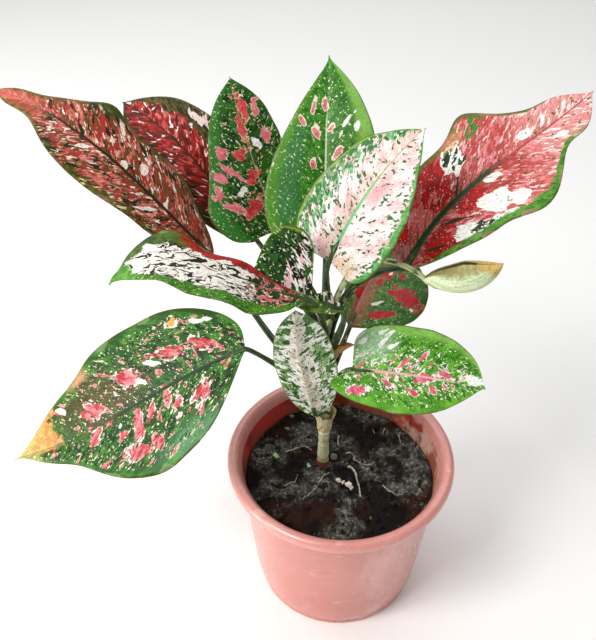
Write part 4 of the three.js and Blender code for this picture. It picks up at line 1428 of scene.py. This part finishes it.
def make_fibres():
    """Dry roots and stalks that lie on the soil."""
    routes = [
        ((-39, 15), (-33, 20), (-27, 22), (-20, 19)),
        ((5, 15), (11, 15), (11, 9), (18, 7), (26, 9)),
        ((6, 3), (11, -3), (13, -12), (14, -21)),
        ((1, 35), (0, 30), (1, 25)),
        ((36, 41), (34, 36)),
        ((27, 41), (28, 37)),
        ((46, 37), (47, 29)),
        ((-8, -2), (-14, -9), (-20, -20), (-27, -27)),
        ((30, -12), (36, -18), (44, -19)),
        ((-40, -14), (-33, -11), (-30, -4)),
    ]
    widths = (0.75, 0.6, 0.95, 0.5, 0.4, 0.45, 0.4, 0.5, 0.45, 0.4)
    skin = Skin()
    for route, width in zip(routes, widths):
        flat = smooth_path(route, 10)
        above = [width + 0.6 + 0.5 * math.sin(i / 3) for i in range(len(flat))]
        wavy = np.array([(x, y, crumbly_height(x, y) + lift) for (x, y), lift in zip(flat, above)])
        add_tube(skin, wavy, (0, 0, 1), lambda share, w=width: (w * (1.05 - 0.5 * share), w * 0.7), 8)
    finish_piece(skin.build("dry_roots", [paint_fibre()]), "soil")


def make_crumb(name, at, size, material, seed, flatness):
    skin = Skin()
    for x, y, scale in at:
        lump(
            skin, (x, y, crumbly_height(x, y) + 0.45 * size * scale), size * scale, random.Random(seed + x),
            flatness,
        )
    finish_piece(skin.build(name, [material]), "soil")


def make_debris():
    """White mineral flakes, bark chips and a pebble on the soil."""
    white = paint_chip("finish_white_flake", (232, 226, 216), (196, 186, 172))
    bark = paint_chip("finish_bark_chip", (112, 84, 58), (70, 48, 34))
    grey = paint_chip("finish_grey_clod", (150, 146, 134), (96, 92, 82))
    make_crumb(
        "white_flakes", [(-1, -9, 1.3), (2, -10, 1.0), (6, -12, 1.4), (8, -14, 1.0)], 2.0, white, 3, 0.5,
    )
    make_crumb(
        "bark_chips", [(-48, -3, 1.0), (-44, -30, 0.8), (20, -40, 0.9), (52, 3, 0.8)], 1.9, bark, 5, 0.5,
    )
    make_crumb(
        "grey_clods", [(-4, 11, 1.4), (-35, 53, 0.9), (-26, 44, 0.8), (-38, 40, 0.9)], 2.1, grey, 7, 0.8,
    )


def make_seedlings():
    """Two tiny seedlings, each of two rounded seed leaves on a thread of a stalk."""
    skin = Skin()
    for x, y, size in ((-47, 10, 3.2), (-23, 4, 2.1)):
        base = np.array([x, y, crumbly_height(x, y)])
        top = base + [0.4, -0.6, 2.4 + size / 3]
        add_tube(skin, np.linspace(base, top, 6), (0, 1, 0), lambda share: (0.35, 0.35), 8)
        for side in (-1, 1):
            turn = direction(55 * side + 35, 15)
            tip = top + turn * size
            aside = np.cross([0, 0, 1], turn)

            def oval(share, size=size):
                full = math.sin(math.pi * min(0.06 + 0.94 * share, 0.97)) ** 0.6
                return 0.52 * size * full, 0.22

            add_tube(skin, np.linspace(top, tip, 12), np.cross(turn, aside), oval, 12)
    finish_piece(skin.build("seedlings", [paint_seedling()]), "leaf_green")


def paint_seedling():
    """Pale fresh green."""
    paint = Paint("finish_seedling", (126, 170, 104))
    spot = paint.spot()
    paint.mottle(spot, 500.0, 2.0, 0.4, 0.6, (176, 208, 160))
    paint.bump(paint.noise(spot, 1500.0, 2.0), 0.3, 0.0003)
    return paint.done(0.45)


# ---------- the plant ----------

SOIL_PAINT = paint_soil()


def make_plant():
    # painted shade: the leaf stalks are pale green, and are painted these dark greens for the shade among
    # them in the crown
    stalk = paint_petiole("finish_petiole_painted_shade", (28, 56, 10), (60, 92, 24))
    pale_stalk = paint_petiole("finish_flower_stalk", (170, 182, 118), (206, 208, 160))
    for name, dimensions in LEAVES.items():
        paint_blade, slot = LOOKS[name]
        make_leaf(name, dimensions, paint_blade(), stalk, slot)
    make_leaf("flower", FLOWER, paint_bract(), pale_stalk, "flower_bract")


make_plant()
make_cane()
make_collar()
make_scales()
make_pot()
make_soil()
make_clods()
make_fibres()
make_debris()
make_seedlings()

# ---------- stage, light and camera ----------

CAMERA_TARGET = (-30, 0, 120)  # millimetres from the middle of the pot's rim
CAMERA_DISTANCE = 487
CAMERA_TILT = 39.6  # degrees that it looks down
CAMERA_LENS = 45


def make_floor():
    """A wide pale floor."""
    skin = Skin()
    reach = np.linspace(-FLOOR_REACH, FLOOR_REACH, 13)
    grid = pairs(reach, reach)
    points = np.concatenate([grid, np.zeros_like(grid[:, :, :1])], axis=-1)
    skin.add_grid(points, grid / (2 * FLOOR_REACH) + 0.5, grid / 10, turned=True)
    paint = Paint("finish_floor", (252, 252, 251))
    floor = skin.build("floor", [paint.done(0.7, 0.2)])


def add_light(name, place, target, size, power, colour):
    """A large soft light at a place, pointed at a target, both in metres."""
    data = bpy.data.lights.new(name, "AREA")
    data.shape = "RECTANGLE"
    data.size, data.size_y = size
    data.energy = power
    data.color = colour
    light = add_object(name, data)
    light.location = place
    light.rotation_euler = (Vector(target) - Vector(place)).to_track_quat("-Z", "Y").to_euler()


def make_light():
    """Plain soft studio light: key and window at the left, a low side light, a fill, a top light."""
    middle = (-0.03, 0.0, 0.2)
    add_light("key", (-0.75, -0.55, 1.25), middle, (0.5, 0.5), 12, (1.0, 0.99, 0.97))
    add_light("side", (-1.0, -0.35, 0.35), (0.0, 0.0, 0.1), (0.3, 0.8), 6, (1.0, 1.0, 1.0))
    add_light("window", (-1.2, 0.5, 0.95), middle, (0.9, 0.7), 5, (1.0, 1.0, 1.0))
    add_light("fill", (1.1, -0.7, 0.8), middle, (1.2, 1.2), 1.2, (1.0, 1.0, 1.0))
    add_light("top", (0.1, 0.9, 1.9), (-0.03, 0.5, 0.0), (2.0, 2.0), 18, (1.0, 1.0, 1.0))
    world = bpy.data.worlds.new("surround")
    world.use_nodes = True
    world.node_tree.nodes["Background"].inputs["Color"].default_value = (1.0, 1.0, 1.0, 1.0)
    world.node_tree.nodes["Background"].inputs["Strength"].default_value = 0.32
    bpy.context.scene.world = world


def make_camera():
    """A camera that looks down at the plant from its front."""
    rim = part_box("pot")[1][2]
    aim = Vector((CAMERA_TARGET[0] * MM, CAMERA_TARGET[1] * MM, rim + CAMERA_TARGET[2] * MM))
    tilt = math.radians(CAMERA_TILT)
    data = bpy.data.cameras.new("camera")
    data.lens = CAMERA_LENS
    data.clip_start = 0.01
    camera = add_object("camera", data)
    camera.location = aim + Vector((0, -math.cos(tilt), math.sin(tilt))) * CAMERA_DISTANCE * MM
    camera.rotation_euler = (math.radians(90) - tilt, 0, 0)
    bpy.context.scene.camera = camera


make_floor()
make_light()
make_camera()
bpy.context.scene.view_settings.view_transform = "Standard"
